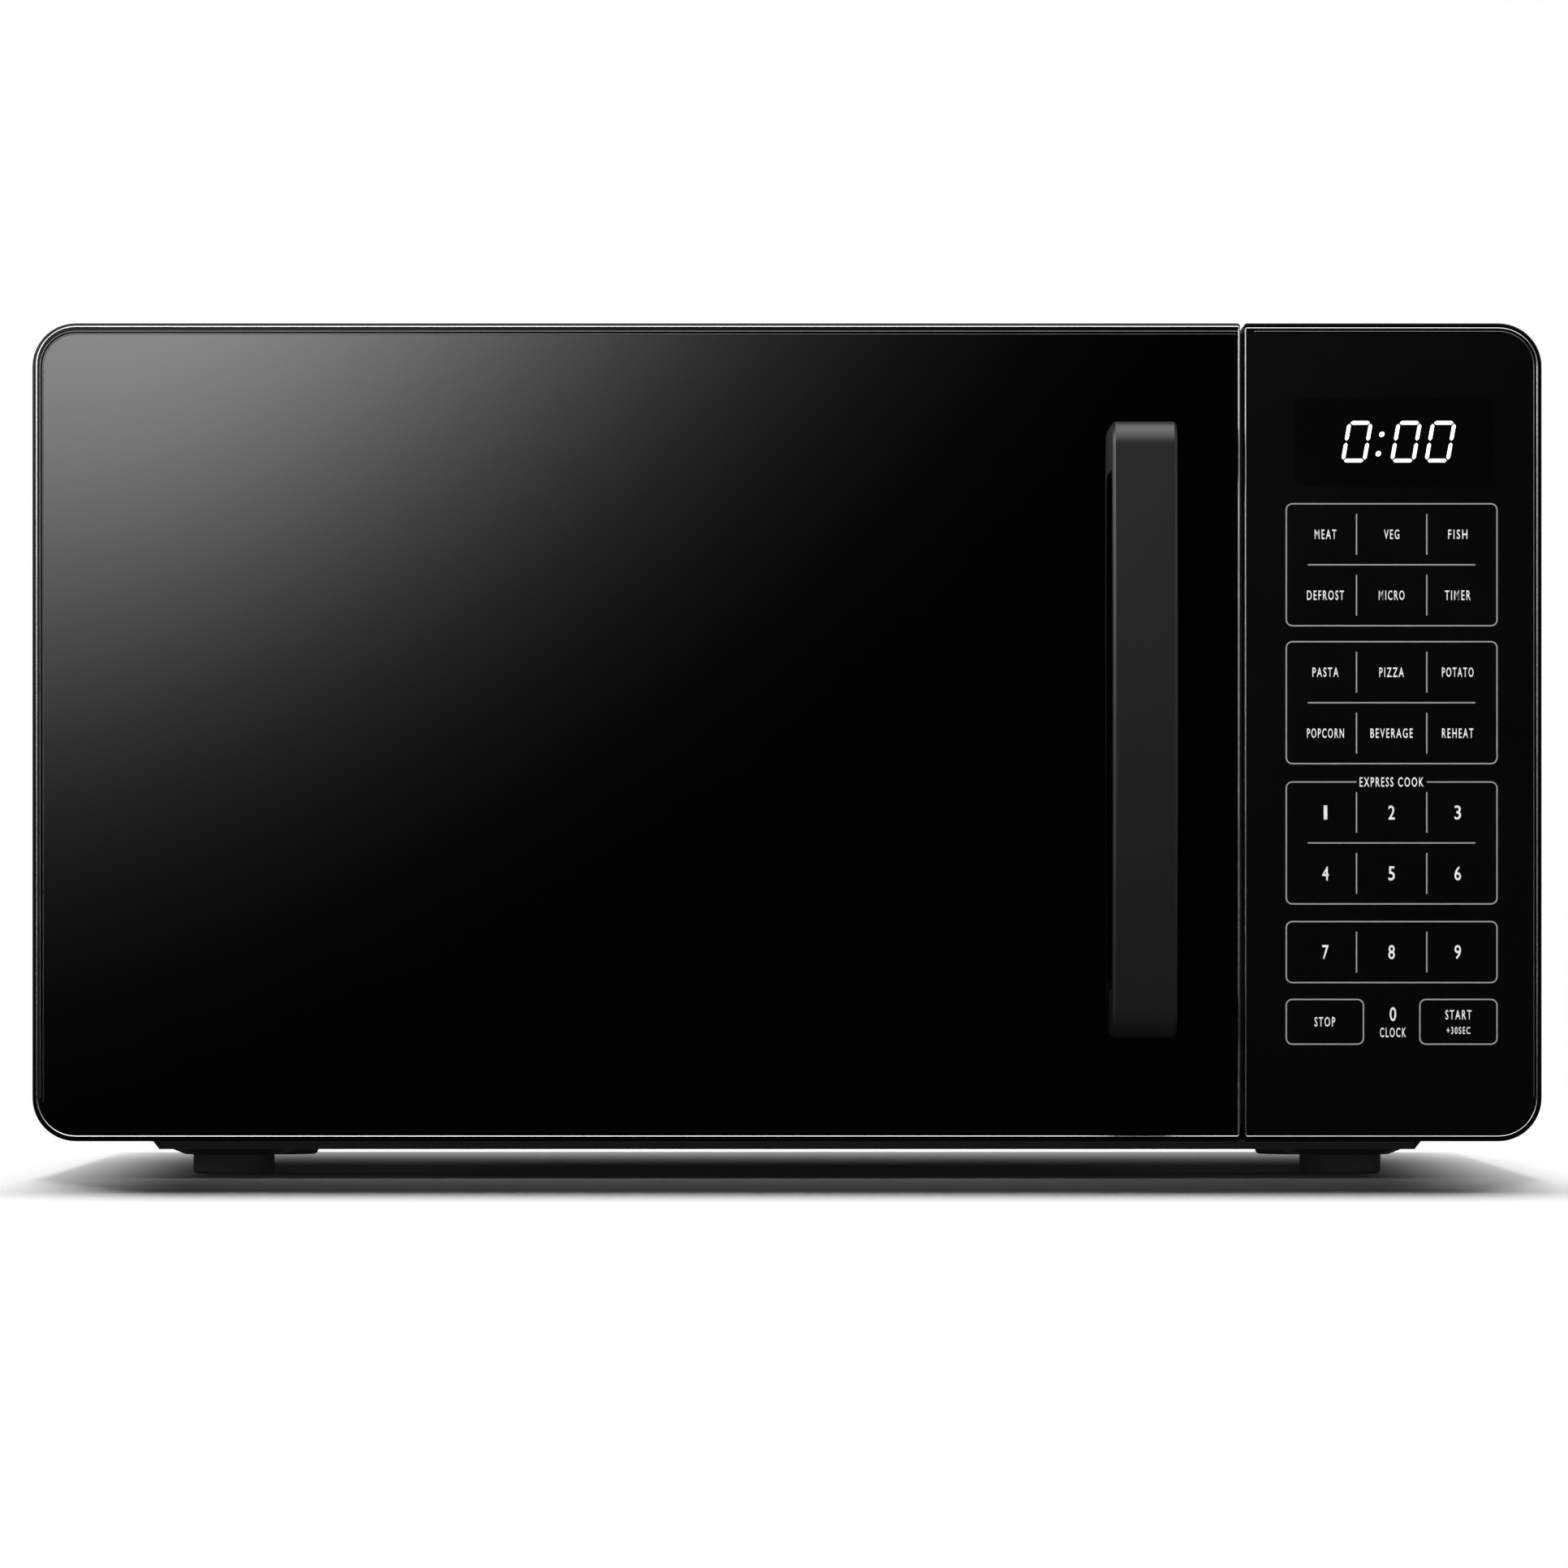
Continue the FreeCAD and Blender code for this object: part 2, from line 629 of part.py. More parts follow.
def fan_rotor():
    """The motor's rotor on its shaft."""
    rotor = rod(13.0, Vector(FAN_X, 128.5, FAN_Z), 16.0, Y_AXIS)
    shaft = rod(2.0, Vector(FAN_X, 120.0, FAN_Z), 52.0, Y_AXIS)
    return fuse(rotor, shaft)


def fan_blade():
    """A five-bladed fan pressed on the shaft."""
    middle = 163.0
    hub = rod(10.0, Vector(FAN_X, middle - 8.0, FAN_Z), 16.0, Y_AXIS)
    blades = []
    for index in range(5):
        blade = box((FAN_X - 12.0, FAN_X + 12.0), (middle - 0.8, middle + 0.8), (FAN_Z + 8.0, FAN_Z + 52.0))
        blade.rotate(Vector(FAN_X, middle, FAN_Z), Z_AXIS, 32.0)
        blade.rotate(Vector(FAN_X, middle, FAN_Z), Y_AXIS, 72.0 * index)
        blades.append(blade)
    limit = rod(FAN_RADIUS, Vector(FAN_X, middle - 12.0, FAN_Z), 24.0, Y_AXIS)
    bore = rod(2.0, Vector(FAN_X, middle - 12.0, FAN_Z), 24.0, Y_AXIS)
    return cut(fuse(hub, *blades).common(limit), bore)


def air_guide():
    """The duct that leads warm air from the magnetron to the cavity's inlet holes."""
    wall = 1.5
    x = (CAVITY_RIGHT + SHEET, MAGNETRON_X + 52.0)
    y = (-80.0, MAGNETRON_Y - 43.0)
    z = (MAGNETRON_Z - 40.0, MAGNETRON_Z + 40.0)
    inside = box((x[0] - OVERCUT, x[1] - wall), inset(y, wall), inset(z, wall))
    entry = box((MAGNETRON_X + 2.0, x[1] - wall), (y[1] - 3.0, y[1] + OVERCUT), inset(z, wall))
    return cut(box(x, y, z), inside, entry)


# ---- turntable ----------------------------------------------------------------------------
def turn_about_table(shape, degrees):
    """The shape turned about the turntable's axis."""
    turned = shape.copy()
    turned.rotate(Vector(TABLE_X, TABLE_Y, 0), Z_AXIS, degrees)
    return turned


def turntable_motor():
    """The flat synchronous motor under the cavity's floor, with two fixing ears."""
    top = CAVITY_FLOOR - SHEET
    can = rod(24.5, Vector(TABLE_X, TABLE_Y, 9.4), top - 9.4)
    ears = slab(
        (TABLE_X - 34.0, TABLE_X + 34.0), (TABLE_Y - 6.0, TABLE_Y + 6.0), (top - 1.2, top), (6,) * 4, Z_AXIS
    )
    bore = rod(STEM_RADIUS + RUNNING, Vector(TABLE_X, TABLE_Y, top - 6.0), 8.0)
    ear_holes = [rod(2.1, Vector(TABLE_X + dx, TABLE_Y, top - 3.0), 5.0) for dx in (-29.0, 29.0)]
    return cut(fuse(can, ears), bore, *ear_holes)


def turntable_coupler():
    """The three-armed driver whose stem turns in the motor."""
    stem = rod(STEM_RADIUS, Vector(TABLE_X, TABLE_Y, CAVITY_FLOOR - SHEET - 5.5), 16.0)
    hub = rod(9.0, Vector(TABLE_X, TABLE_Y, 31.0), 8.6)
    arm_y = (TABLE_Y - 4.0, TABLE_Y + 4.0)
    arm = slab((TABLE_X, TABLE_X + 27.0), arm_y, (33.6, 39.6), (0, 4, 4, 0), Z_AXIS)
    arms = [turn_about_table(arm, 120.0 * index) for index in range(ARM_COUNT)]
    return fuse(stem, hub, *arms)


def glass_tray():
    """The glass turntable: a flat dish with a raised rim and three driving bosses below."""
    low = TRAY_UNDERSIDE
    profile = [
        (0.0, low),
        (112.0, low),
        (TRAY_RADIUS - 2.0, low + 8.0),
        (TRAY_RADIUS, low + 11.0),
        (TRAY_RADIUS - 1.5, low + 12.0),
        (TRAY_RADIUS - 4.5, low + 11.0),
        (110.0, low + 4.6),
        (0.0, low + 4.6),
    ]
    points = [Vector(TABLE_X + r, TABLE_Y, z) for r, z in profile]
    face = Part.Face(Part.makePolygon(points + points[:1]))
    dish = face.revolve(Vector(TABLE_X, TABLE_Y, 0), Z_AXIS, 360.0)
    boss = rod(4.0, Vector(TABLE_X + 16.0, TABLE_Y, low - 3.4), 4.0)
    bosses = [turn_about_table(boss, 60.0 + 120.0 * index) for index in range(ARM_COUNT)]
    return fuse(dish, *bosses)


def roller_ring():
    """The plastic ring with three stub axles."""
    ring = rod(80.0, Vector(TABLE_X, TABLE_Y, ROLLER_Z - 3.0), 6.0)
    hole = rod(73.0, Vector(TABLE_X, TABLE_Y, ROLLER_Z - 4.0), 8.0)
    inner = ROLLER_TRACK - ROLLER_WIDTH / 2
    outer = ROLLER_TRACK + ROLLER_WIDTH / 2
    start = TABLE_X + 78.0
    axle = rod(AXLE_RADIUS, Vector(start, TABLE_Y, ROLLER_Z), TABLE_X + outer + 2.0 - start, X_AXIS)
    collar = rod(2.6, Vector(start, TABLE_Y, ROLLER_Z), TABLE_X + inner - 0.4 - start, X_AXIS)
    keeper = rod(2.6, Vector(TABLE_X + outer + 0.4, TABLE_Y, ROLLER_Z), 1.6, X_AXIS)
    stub = fuse(axle, collar, keeper)
    stubs = [turn_about_table(stub, 120.0 * index) for index in range(ARM_COUNT)]
    return fuse(cut(ring, hole), *stubs)


def roller(index):
    """One wheel on its stub axle."""
    start = Vector(TABLE_X + ROLLER_TRACK - ROLLER_WIDTH / 2, TABLE_Y, ROLLER_Z)
    wheel = rod(ROLLER_RADIUS, start, ROLLER_WIDTH, X_AXIS)
    bore = rod(AXLE_RADIUS + RUNNING, start - X_AXIS, ROLLER_WIDTH + 2.0, X_AXIS)
    recess = cut(rod(6.2, start, 1.5, X_AXIS), rod(3.2, start, 1.5, X_AXIS))
    return turn_about_table(cut(wheel, bore, recess), 120.0 * index)


# ---- lamp, thermostats, mains filter ------------------------------------------------------
def lamp_holder():
    """The lamp socket on its bracket arm."""
    wall = CAVITY_RIGHT + SHEET
    socket = rod(9.0, Vector(wall + 26.0, LAMP_Y, LAMP_Z), 14.0, X_AXIS)
    arm = box((wall, wall + 40.0), (LAMP_Y - 7.0, LAMP_Y + 7.0), (LAMP_Z + 12.0, LAMP_Z + 14.0))
    drop = box((wall + 34.0, wall + 40.0), (LAMP_Y - 4.0, LAMP_Y + 4.0), (LAMP_Z + 5.0, LAMP_Z + 12.0))
    return fuse(socket, arm, drop)


def lamp_bulb():
    """The clear bulb between the socket and the cavity's side."""
    tip = CAVITY_RIGHT + SHEET + 2.5
    radius = 9.5
    neck = 6.0
    middle = tip + radius
    shoulder = middle + math.sqrt(radius**2 - neck**2)
    end = CAVITY_RIGHT + SHEET + 26.0
    start = Vector(tip, LAMP_Y, LAMP_Z)
    crown = Vector(middle, LAMP_Y + radius, LAMP_Z)
    join = Vector(shoulder, LAMP_Y + neck, LAMP_Z)
    rim = Vector(end, LAMP_Y + neck, LAMP_Z)
    axis_end = Vector(end, LAMP_Y, LAMP_Z)
    edges = [
        Part.Arc(start, crown, join).toShape(),
        Part.LineSegment(join, rim).toShape(),
        Part.LineSegment(rim, axis_end).toShape(),
        Part.LineSegment(axis_end, start).toShape(),
    ]
    return Part.Face(Part.Wire(edges)).revolve(start, X_AXIS, 360.0)


def thermal_cutouts():
    """Two disc thermostats: on the cavity's ceiling and on the magnetron."""
    discs = []
    places = (
        Vector(TABLE_X, 60.0, CAVITY_CEILING + SHEET),
        Vector(MAGNETRON_X + 26.0, MAGNETRON_Y, MAGNETRON_Z + 40.0),
    )
    for base in places:
        body = fuse(rod(11.0, base, 1.0), rod(8.0, base, 7.0))
        tabs = [
            box((x, x + 0.8), (base.y - 3.0, base.y + 3.0), (base.z + 7.0, base.z + 14.0))
            for x in (base.x - 5.0, base.x + 4.2)
        ]
        discs.append(fuse(body, *tabs))
    return group(*discs)


def filter_board():
    """The mains filter: a board on four standoffs with its choke, capacitor and fuse."""
    back = Y_PANEL_BACK - SHEET
    y = (170.0, 171.6)
    board = box((112.0, 186.0), y, (26.0, 86.0))
    standoffs = [
        rod(3.0, Vector(x, y[1], z), back - y[1], Y_AXIS) for x in (117.0, 181.0) for z in (31.0, 81.0)
    ]
    choke_place = Vector(133.0, 160.0, 48.0)
    choke_hole = rod(6.0, choke_place - Y_AXIS, 11.0, Y_AXIS)
    choke = cut(rod(13.0, choke_place, 10.0, Y_AXIS), choke_hole)
    block = box((154.0, 180.0), (156.0, 170.0), (40.0, 50.0))
    fuse_link = rod(3.0, Vector(150.0, 166.0, 70.0), 24.0, X_AXIS)
    clips = [box((x, x + 3.0), (163.0, 170.0), (66.5, 73.5)) for x in (150.0, 171.0)]
    return fuse(board, *standoffs, choke, block, fuse_link, *clips)


# ---- interlock ----------------------------------------------------------------------------
def latch_board():
    """The moulded bracket behind the hook slots: ledges, a web for the switches, a lever pin."""
    plate_y = (Y_PLATE_BACK, Y_PLATE_BACK + 4.0)
    plate = box((102.0, 122.0), plate_y, (56.0, 212.0))
    web = box((102.0, 104.5), (plate_y[1], -84.0), (60.0, 208.0))
    hook_slots = []
    ledges = []
    for z in (LATCH_UPPER, LATCH_LOWER):
        top = z - LATCH_ARM - LEDGE_GAP
        hook_slots.append(box((107.0, 117.0), inset(plate_y, -OVERCUT), (top, z + 11.0)))
        ledges.append(box((104.5, 119.0), (plate_y[1], Y_LEDGE_FACE), (top - 6.0, top)))
    lug = box((104.5, 108.5), (plate_y[1], -100.6), (LEVER_PIVOT_Z - 5.0, LEVER_PIVOT_Z + 5.0))
    pin = rod(AXLE_RADIUS, Vector(108.5, LEVER_PIVOT_Y, LEVER_PIVOT_Z), 7.5, X_AXIS)
    return fuse(cut(plate, *hook_slots), web, *ledges, lug, pin)


def switch_fronts():
    """Each switch's name, the height of its plunger and the place of its front face."""
    return {
        "primary": (LATCH_UPPER, -103.5),
        "secondary": (SECONDARY_Z, -100.0),
        "monitor": (MONITOR_Z, -100.0),
    }


def interlock_switches():
    """Three microswitch bodies on the latch board's web."""
    bodies = []
    for z, front in switch_fronts().values():
        body = box(SWITCH_X, (front, front + SWITCH_DEPTH), (z - SWITCH_LENGTH / 2, z + SWITCH_LENGTH / 2))
        bore = rod(PLUNGER_RADIUS + RUNNING, Vector(sum(SWITCH_X) / 2, front - 1.0, z), 6.5, Y_AXIS)
        tabs = [
            box((108.0, 112.0), (front + SWITCH_DEPTH, front + SWITCH_DEPTH + 6.0), (z + dz, z + dz + 0.8))
            for dz in (-10.0, 0.0, 10.0)
        ]
        bodies.append(fuse(cut(body, bore), *tabs))
    return group(*bodies)


def switch_plunger(name):
    """One switch's plunger, standing out of its body by its free travel."""
    z, front = switch_fronts()[name]
    free = 2.2
    return rod(PLUNGER_RADIUS, Vector(sum(SWITCH_X) / 2, front - free, z), free + 3.5, Y_AXIS)


def interlock_lever():
    """The lever that the lower hook pushes on to two of the switches."""
    y = (-105.5, -102.5)
    bar = box(LATCH_X, y, (66.0, LEVER_PIVOT_Z))
    boss = rod(3.4, Vector(LATCH_X[0], LEVER_PIVOT_Y, LEVER_PIVOT_Z), 6.0, X_AXIS)
    bore = rod(AXLE_RADIUS + RUNNING, Vector(LATCH_X[0] - 1.0, LEVER_PIVOT_Y, LEVER_PIVOT_Z), 8.0, X_AXIS)
    return cut(fuse(bar, boss), bore)


def latch_hooks():
    """The double hook: an upright bar in the door and two arms with tips that point down."""
    bar_y = (-146.5, -138.0)
    bar = box(LATCH_X, bar_y, (LATCH_LOWER - 14.0, LATCH_BAR_TOP))
    parts = [bar]
    for z in (LATCH_UPPER, LATCH_LOWER):
        parts.append(box(LATCH_X, (bar_y[1] - OVERCUT, Y_LATCH_END), (z - LATCH_ARM, z + LATCH_ARM)))
        tip = [
            (Y_LEDGE_FACE + LEDGE_GAP, z - LATCH_ARM),
            (Y_LEDGE_FACE + LEDGE_GAP, z - LATCH_ARM - LATCH_TIP),
            (Y_LATCH_END - 3.0, z - LATCH_ARM - LATCH_TIP),
            (Y_LATCH_END, z - LATCH_ARM),
        ]
        parts.append(polygon(tip, X_AXIS, LATCH_X))
    return fuse(*parts)


def latch_spring():
    """The compression spring above the bar, which pushes the hooks down."""
    wire = 0.4
    radius = 2.4
    bottom = LATCH_BAR_TOP + wire
    turns = 6
    height = SPRING_TOP - wire - bottom
    helix = Part.makeHelix(height / turns, height, radius)
    section = Part.Wire(Part.makeCircle(wire, Vector(radius, 0, 0), Y_AXIS))
    coil = Part.Wire(helix).makePipeShell([section], True, True)
    coil.translate(Vector(sum(LATCH_X) / 2, -142.2, bottom))
    return coil


# ---- door ---------------------------------------------------------------------------------
def hinge_clearance():
    """The room that the lower hinge tab sweeps inside the door."""
    x = (DOOR_LEFT - OVERCUT, HINGE_TAB_RIGHT + 2.0)
    y = (HINGE_TAB_FRONT - 3.5, Y_DOOR_BACK + OVERCUT)
    return box(x, y, (HINGE_TAB_Z - 1.5, HINGE_TAB_Z + HINGE_TAB + 1.0))


def hinge_side_rounding():
    """What is taken off the door's left rear edge so that it turns clear of the front plate."""
    centre = Vector(DOOR_LEFT + DOOR_EDGE_ROUND, Y_DOOR_BACK - DOOR_EDGE_ROUND, Z_FRONT - OVERCUT)
    corner = box(
        (DOOR_LEFT - OVERCUT, centre.x), (centre.y, Y_DOOR_BACK + OVERCUT), (centre.z, HEIGHT + OVERCUT)
    )
    return cut(corner, rod(DOOR_EDGE_ROUND, centre, HEIGHT))


def latch_passage(y):
    """The hooks' way through the door's rear layers, with room for their lift."""
    return [box((106.0, 118.0), y, (z - 12.0, z + 12.0)) for z in (LATCH_UPPER, LATCH_LOWER)]


def screw_heights():
    """The heights of the two handle screws."""
    return inset(HANDLE_Z, HANDLE_SCREW_INSET)


GLASS_X = (DOOR_LEFT + BEZEL_SIDE, DOOR_RIGHT - 0.4)
GLASS_Z = (Z_FRONT + BEZEL_BOTTOM, HEIGHT - BEZEL_SIDE)
GLASS_CORNER = CORNER - BEZEL_SIDE
HANDLE_MIDDLE = sum(HANDLE_X) / 2


def door_frame():
    """The moulded frame: side walls, a ledge behind the glass and a bezel round it."""
    outer = slab(
        (DOOR_LEFT, DOOR_RIGHT),
        (Z_FRONT, HEIGHT),
        (Y_GLASS - BEZEL_PROUD, Y_DOOR_BACK),
        (CORNER, EDGE_CORNER, EDGE_CORNER, CORNER),
    )
    bezel_edges = [
        edge
        for edge in outer.Edges
        if edge.BoundBox.YMax < Y_GLASS - BEZEL_PROUD + 0.01 and edge.BoundBox.XMax < DOOR_RIGHT - 0.5
    ]
    outer = outer.makeFillet(1.2, bezel_edges)
    recess = slab(
        (GLASS_X[0] - GLASS_GAP, DOOR_RIGHT + OVERCUT),
        inset(GLASS_Z, -GLASS_GAP),
        (Y_GLASS - 2 * OVERCUT, Y_LEDGE),
        (GLASS_CORNER + GLASS_GAP, 0, 0, GLASS_CORNER + GLASS_GAP),
    )
    hollow = slab(
        inset((DOOR_LEFT, DOOR_RIGHT), WALL),
        inset((Z_FRONT, HEIGHT), WALL),
        (Y_LEDGE_BACK, Y_DOOR_BACK + OVERCUT),
        (CORNER - WALL, 0, 0, CORNER - WALL),
    )
    window = slab((-196.0, 96.0), (42.0, 225.0), (Y_LEDGE - OVERCUT, Y_LEDGE_BACK + OVERCUT), (8,) * 4)
    holes = [
        rod(2.3, Vector(HANDLE_MIDDLE, Y_LEDGE - OVERCUT, z), 6.0, Y_AXIS) for z in screw_heights()
    ]
    spring_shelf = box((105.0, 119.0), (Y_LEDGE_BACK, -137.0), (SPRING_TOP, SPRING_TOP + 2.0))
    latch_guides = [
        box((x, x + 1.5), (Y_LEDGE_BACK, -139.0), (100.0, 170.0))
        for x in (LATCH_X[0] - 1.9, LATCH_X[1] + 0.4)
    ]
    frame = cut(outer, recess, hollow, window, *holes)
    frame = fuse(frame, spring_shelf, *latch_guides)
    clearance = hinge_clearance()
    return cut(frame, hinge_side_rounding(), clearance, upside_down(clearance))


def door_glass():
    """The black front glass with a hole for each handle screw."""
    radii = (GLASS_CORNER, EDGE_CORNER, EDGE_CORNER, GLASS_CORNER)
    pane = slab(GLASS_X, GLASS_Z, (Y_GLASS, Y_GLASS + GLASS_THICK), radii)
    holes = [rod(3.0, Vector(HANDLE_MIDDLE, Y_GLASS - 1.0, z), 6.0, Y_AXIS) for z in screw_heights()]
    return cut(pane, *holes)


def hinge_ear():
    """The door plate's lower ear with the pin's hole."""
    y = (HINGE_TAB_FRONT, Y_SCREEN_PLATE + SHEET)
    ear = box((HINGE_TAB_LEFT - 0.5, HINGE_TAB_RIGHT + 3.0), y, (25.5, 27.3))
    return cut(ear, rod(HINGE_PIN + RUNNING, Vector(HINGE_X, HINGE_Y, 25.0), 4.0))


def door_plate():
    """The pressed steel plate: a rim folded forward, a window, and two hinge ears."""
    x = (DOOR_PLATE_LEFT, DOOR_PLATE_RIGHT)
    z = (DOOR_PLATE_BOTTOM, DOOR_PLATE_TOP)
    y = (Y_SCREEN_PLATE, Y_SCREEN_PLATE + SHEET)
    rim_y = (y[0] - 11.0, y[0])
    sheet = slab(x, z, y, (4,) * 4)
    rim = cut(
        slab(x, z, rim_y, (4,) * 4),
        slab(inset(x, SHEET), inset(z, SHEET), (rim_y[0] - OVERCUT, rim_y[1]), (3.2,) * 4),
    )
    window = slab(inset(WINDOW_X, 6.0), inset(WINDOW_Z, 6.0), (y[0] - OVERCUT, y[1] + OVERCUT), (3,) * 4)
    clearance = hinge_clearance()
    passages = latch_passage((y[0] - OVERCUT, y[1] + OVERCUT))
    plate = cut(fuse(sheet, rim), window, clearance, upside_down(clearance), *passages)
    return fuse(plate, hinge_ear(), upside_down(hinge_ear()))


def door_screen():
    """The shielding sheet over the plate's window."""
    return slab(WINDOW_X, WINDOW_Z, (Y_SCREEN_PLATE - SCREEN_THICK, Y_SCREEN_PLATE), (3,) * 4)


def inner_window():
    """The clear pane between the plate and the choke cover."""
    y = (Y_SCREEN_PLATE + SHEET, Y_DOOR_BACK - WALL)
    return slab(inset(WINDOW_X, -5.0), inset(WINDOW_Z, -5.0), y, (3,) * 4)


def choke_cover():
    """The moulded cover that closes the door's back round the window."""
    x = (-216.0, 132.0)
    z = (14.0, 253.0)
    plate = slab(x, z, (Y_DOOR_BACK - WALL, Y_DOOR_BACK), (8,) * 4)
    rim_y = (Y_SCREEN_PLATE + SHEET, Y_DOOR_BACK - WALL)
    rim = cut(
        slab(x, z, rim_y, (8,) * 4),
        slab(inset(x, WALL), inset(z, WALL), (rim_y[0] - OVERCUT, rim_y[1]), (6,) * 4),
    )
    through = (rim_y[0] - OVERCUT, Y_DOOR_BACK + OVERCUT)
    window = slab(WINDOW_X, WINDOW_Z, through, (4,) * 4)
    clearance = hinge_clearance()
    return cut(fuse(plate, rim), window, clearance, upside_down(clearance), *latch_passage(through))


def handle_profile(front, bow, corner, z, root):
    """A closed side view: feet on the door at root, turned corners, and a bowed front."""
    shoulder = front + bow
    low, high = z
    ease = corner * (1 - math.cos(math.radians(45)))
    points = [
        Vector(0, root, low),
        Vector(0, shoulder + corner, low),
        Vector(0, shoulder + ease, low + ease),
        Vector(0, shoulder, low + corner),
        Vector(0, front, (low + high) / 2),
        Vector(0, shoulder, high - corner),
        Vector(0, shoulder + ease, high - ease),
        Vector(0, shoulder + corner, high),
        Vector(0, root, high),
    ]
    edges = [
        Part.LineSegment(points[0], points[1]).toShape(),
        Part.Arc(*points[1:4]).toShape(),
        Part.Arc(*points[3:6]).toShape(),
        Part.Arc(*points[5:8]).toShape(),
        Part.LineSegment(points[7], points[8]).toShape(),
        Part.LineSegment(points[8], points[0]).toShape(),
    ]
    return Part.Face(Part.Wire(edges))


def door_handle():
    """The bowed strap handle, its ends turned back to the glass."""
    width = HANDLE_X[1] - HANDLE_X[0]
    outer = handle_profile(Y_HANDLE, HANDLE_BOW, HANDLE_CORNER, HANDLE_Z, Y_GLASS)
    bar = outer.extrude(X_AXIS * width)
    front_edges = [
        edge
        for edge in bar.Edges
        if edge.BoundBox.YMin < Y_GLASS - 20.0
        and edge.BoundBox.XLength < CLOSE
        and edge.BoundBox.ZLength > 1.0
    ]
    bar = bar.makeChamfer(HANDLE_CHAMFER, front_edges)
    inner = handle_profile(
        Y_HANDLE + HANDLE_STRAP, HANDLE_BOW, 6.0, inset(HANDLE_Z, HANDLE_POST), Y_GLASS + OVERCUT
    )
    grip = inner.extrude(X_AXIS * (width + 2 * OVERCUT))
    grip.translate(X_AXIS * -OVERCUT)
    bar = cut(bar, grip)
    bar.translate(X_AXIS * HANDLE_X[0])
    holes = [rod(2.0, Vector(HANDLE_MIDDLE, Y_GLASS - 9.0, z), 10.0, Y_AXIS) for z in screw_heights()]
    return cut(bar, *holes)


def handle_screws():
    """Two screws from inside the door, through ledge and glass into the handle's feet."""
    screws = []
    for z in screw_heights():
        shank = rod(2.0, Vector(HANDLE_MIDDLE, Y_GLASS - 9.0, z), Y_LEDGE_BACK - Y_GLASS + 9.0, Y_AXIS)
        head = rod(3.6, Vector(HANDLE_MIDDLE, Y_LEDGE_BACK, z), 2.4, Y_AXIS)
        screws.append(fuse(shank, head))
    return group(*screws)


def lower_hinge_bracket():
    """A plate behind the front sheet, with a tab that reaches forward into the door."""
    x = (HINGE_TAB_LEFT, HINGE_TAB_RIGHT)
    plate = box(x, (Y_PLATE_BACK, Y_PLATE_BACK + 2.0), (HINGE_TAB_Z, 60.0))
    tab = box(x, (HINGE_TAB_FRONT, Y_PLATE_BACK + 2.0), (HINGE_TAB_Z, HINGE_TAB_Z + HINGE_TAB))
    hole = rod(HINGE_PIN, Vector(HINGE_X, HINGE_Y, HINGE_TAB_Z - 1.0), 4.0)
    return cut(fuse(plate, tab), hole)


def hinge_brackets():
    """The lower and the upper hinge bracket."""
    return group(lower_hinge_bracket(), upside_down(lower_hinge_bracket()))


def hinge_pins():
    """The riveted pins that the door's ears turn on."""
    pin = rod(HINGE_PIN, Vector(HINGE_X, HINGE_Y, HINGE_TAB_Z), 9.0)
    head = rod(HINGE_PIN + 1.5, Vector(HINGE_X, HINGE_Y, HINGE_TAB_Z - 0.9), 0.9)
    lower = fuse(pin, head)
    return group(lower, upside_down(lower))


# ---- control panel ------------------------------------------------------------------------
OVERLAY_X = (PANEL_LEFT + 0.9, HALF_WIDTH - 2.3)
OVERLAY_Z = (Z_FRONT + 2.0, HEIGHT - 2.9)
OVERLAY_CORNER = CORNER - 2.5


def panel_frame():
    """The moulded panel housing: a face with a recess and a display opening, open behind."""
    x = (PANEL_LEFT, HALF_WIDTH)
    z = (Z_FRONT, HEIGHT)
    radii = (EDGE_CORNER, CORNER, CORNER, EDGE_CORNER)
    outer = slab(x, z, (Y_GLASS, Y_FRONT), radii)
    front_edges = [edge for edge in outer.Edges if edge.BoundBox.YMax < Y_GLASS + 0.01]
    outer = outer.makeFillet(0.6, front_edges)
    recess = slab(
        inset(OVERLAY_X, -0.1),
        inset(OVERLAY_Z, -0.1),
        (Y_GLASS - OVERCUT, Y_GLASS + PANEL_FACE),
        (0, OVERLAY_CORNER, OVERLAY_CORNER, 0),
    )
    hollow = slab(
        inset(x, WALL),
        inset(z, WALL),
        (Y_GLASS + PANEL_FACE + 2.2, Y_FRONT + OVERCUT),
        (0, CORNER - WALL, CORNER - WALL, 0),
    )
    display = slab(DISPLAY_X, DISPLAY_Z, (Y_GLASS, Y_GLASS + 5.0), (3,) * 4)
    return cut(outer, recess, hollow, display)


def panel_overlay():
    """The flush touch membrane."""
    return slab(
        OVERLAY_X,
        OVERLAY_Z,
        (Y_GLASS + 0.1, Y_GLASS + PANEL_FACE),
        (0, OVERLAY_CORNER - 0.1, OVERLAY_CORNER - 0.1, 0),
    )


def display_module():
    """The four-digit display behind the overlay's window."""
    return box(inset(DISPLAY_X, 1.5), (Y_GLASS + 1.4, -145.0), inset(DISPLAY_Z, 1.0))


def control_board():
    """The control board that carries the display and the relays."""
    board = box((142.0, 221.0), (-145.0, -143.4), (40.0, 240.0))
    holes = [rod(1.7, Vector(x, -146.0, z), 4.0, Y_AXIS) for x in (146.0, 217.0) for z in (44.0, 236.0)]
    return cut(board, *holes)


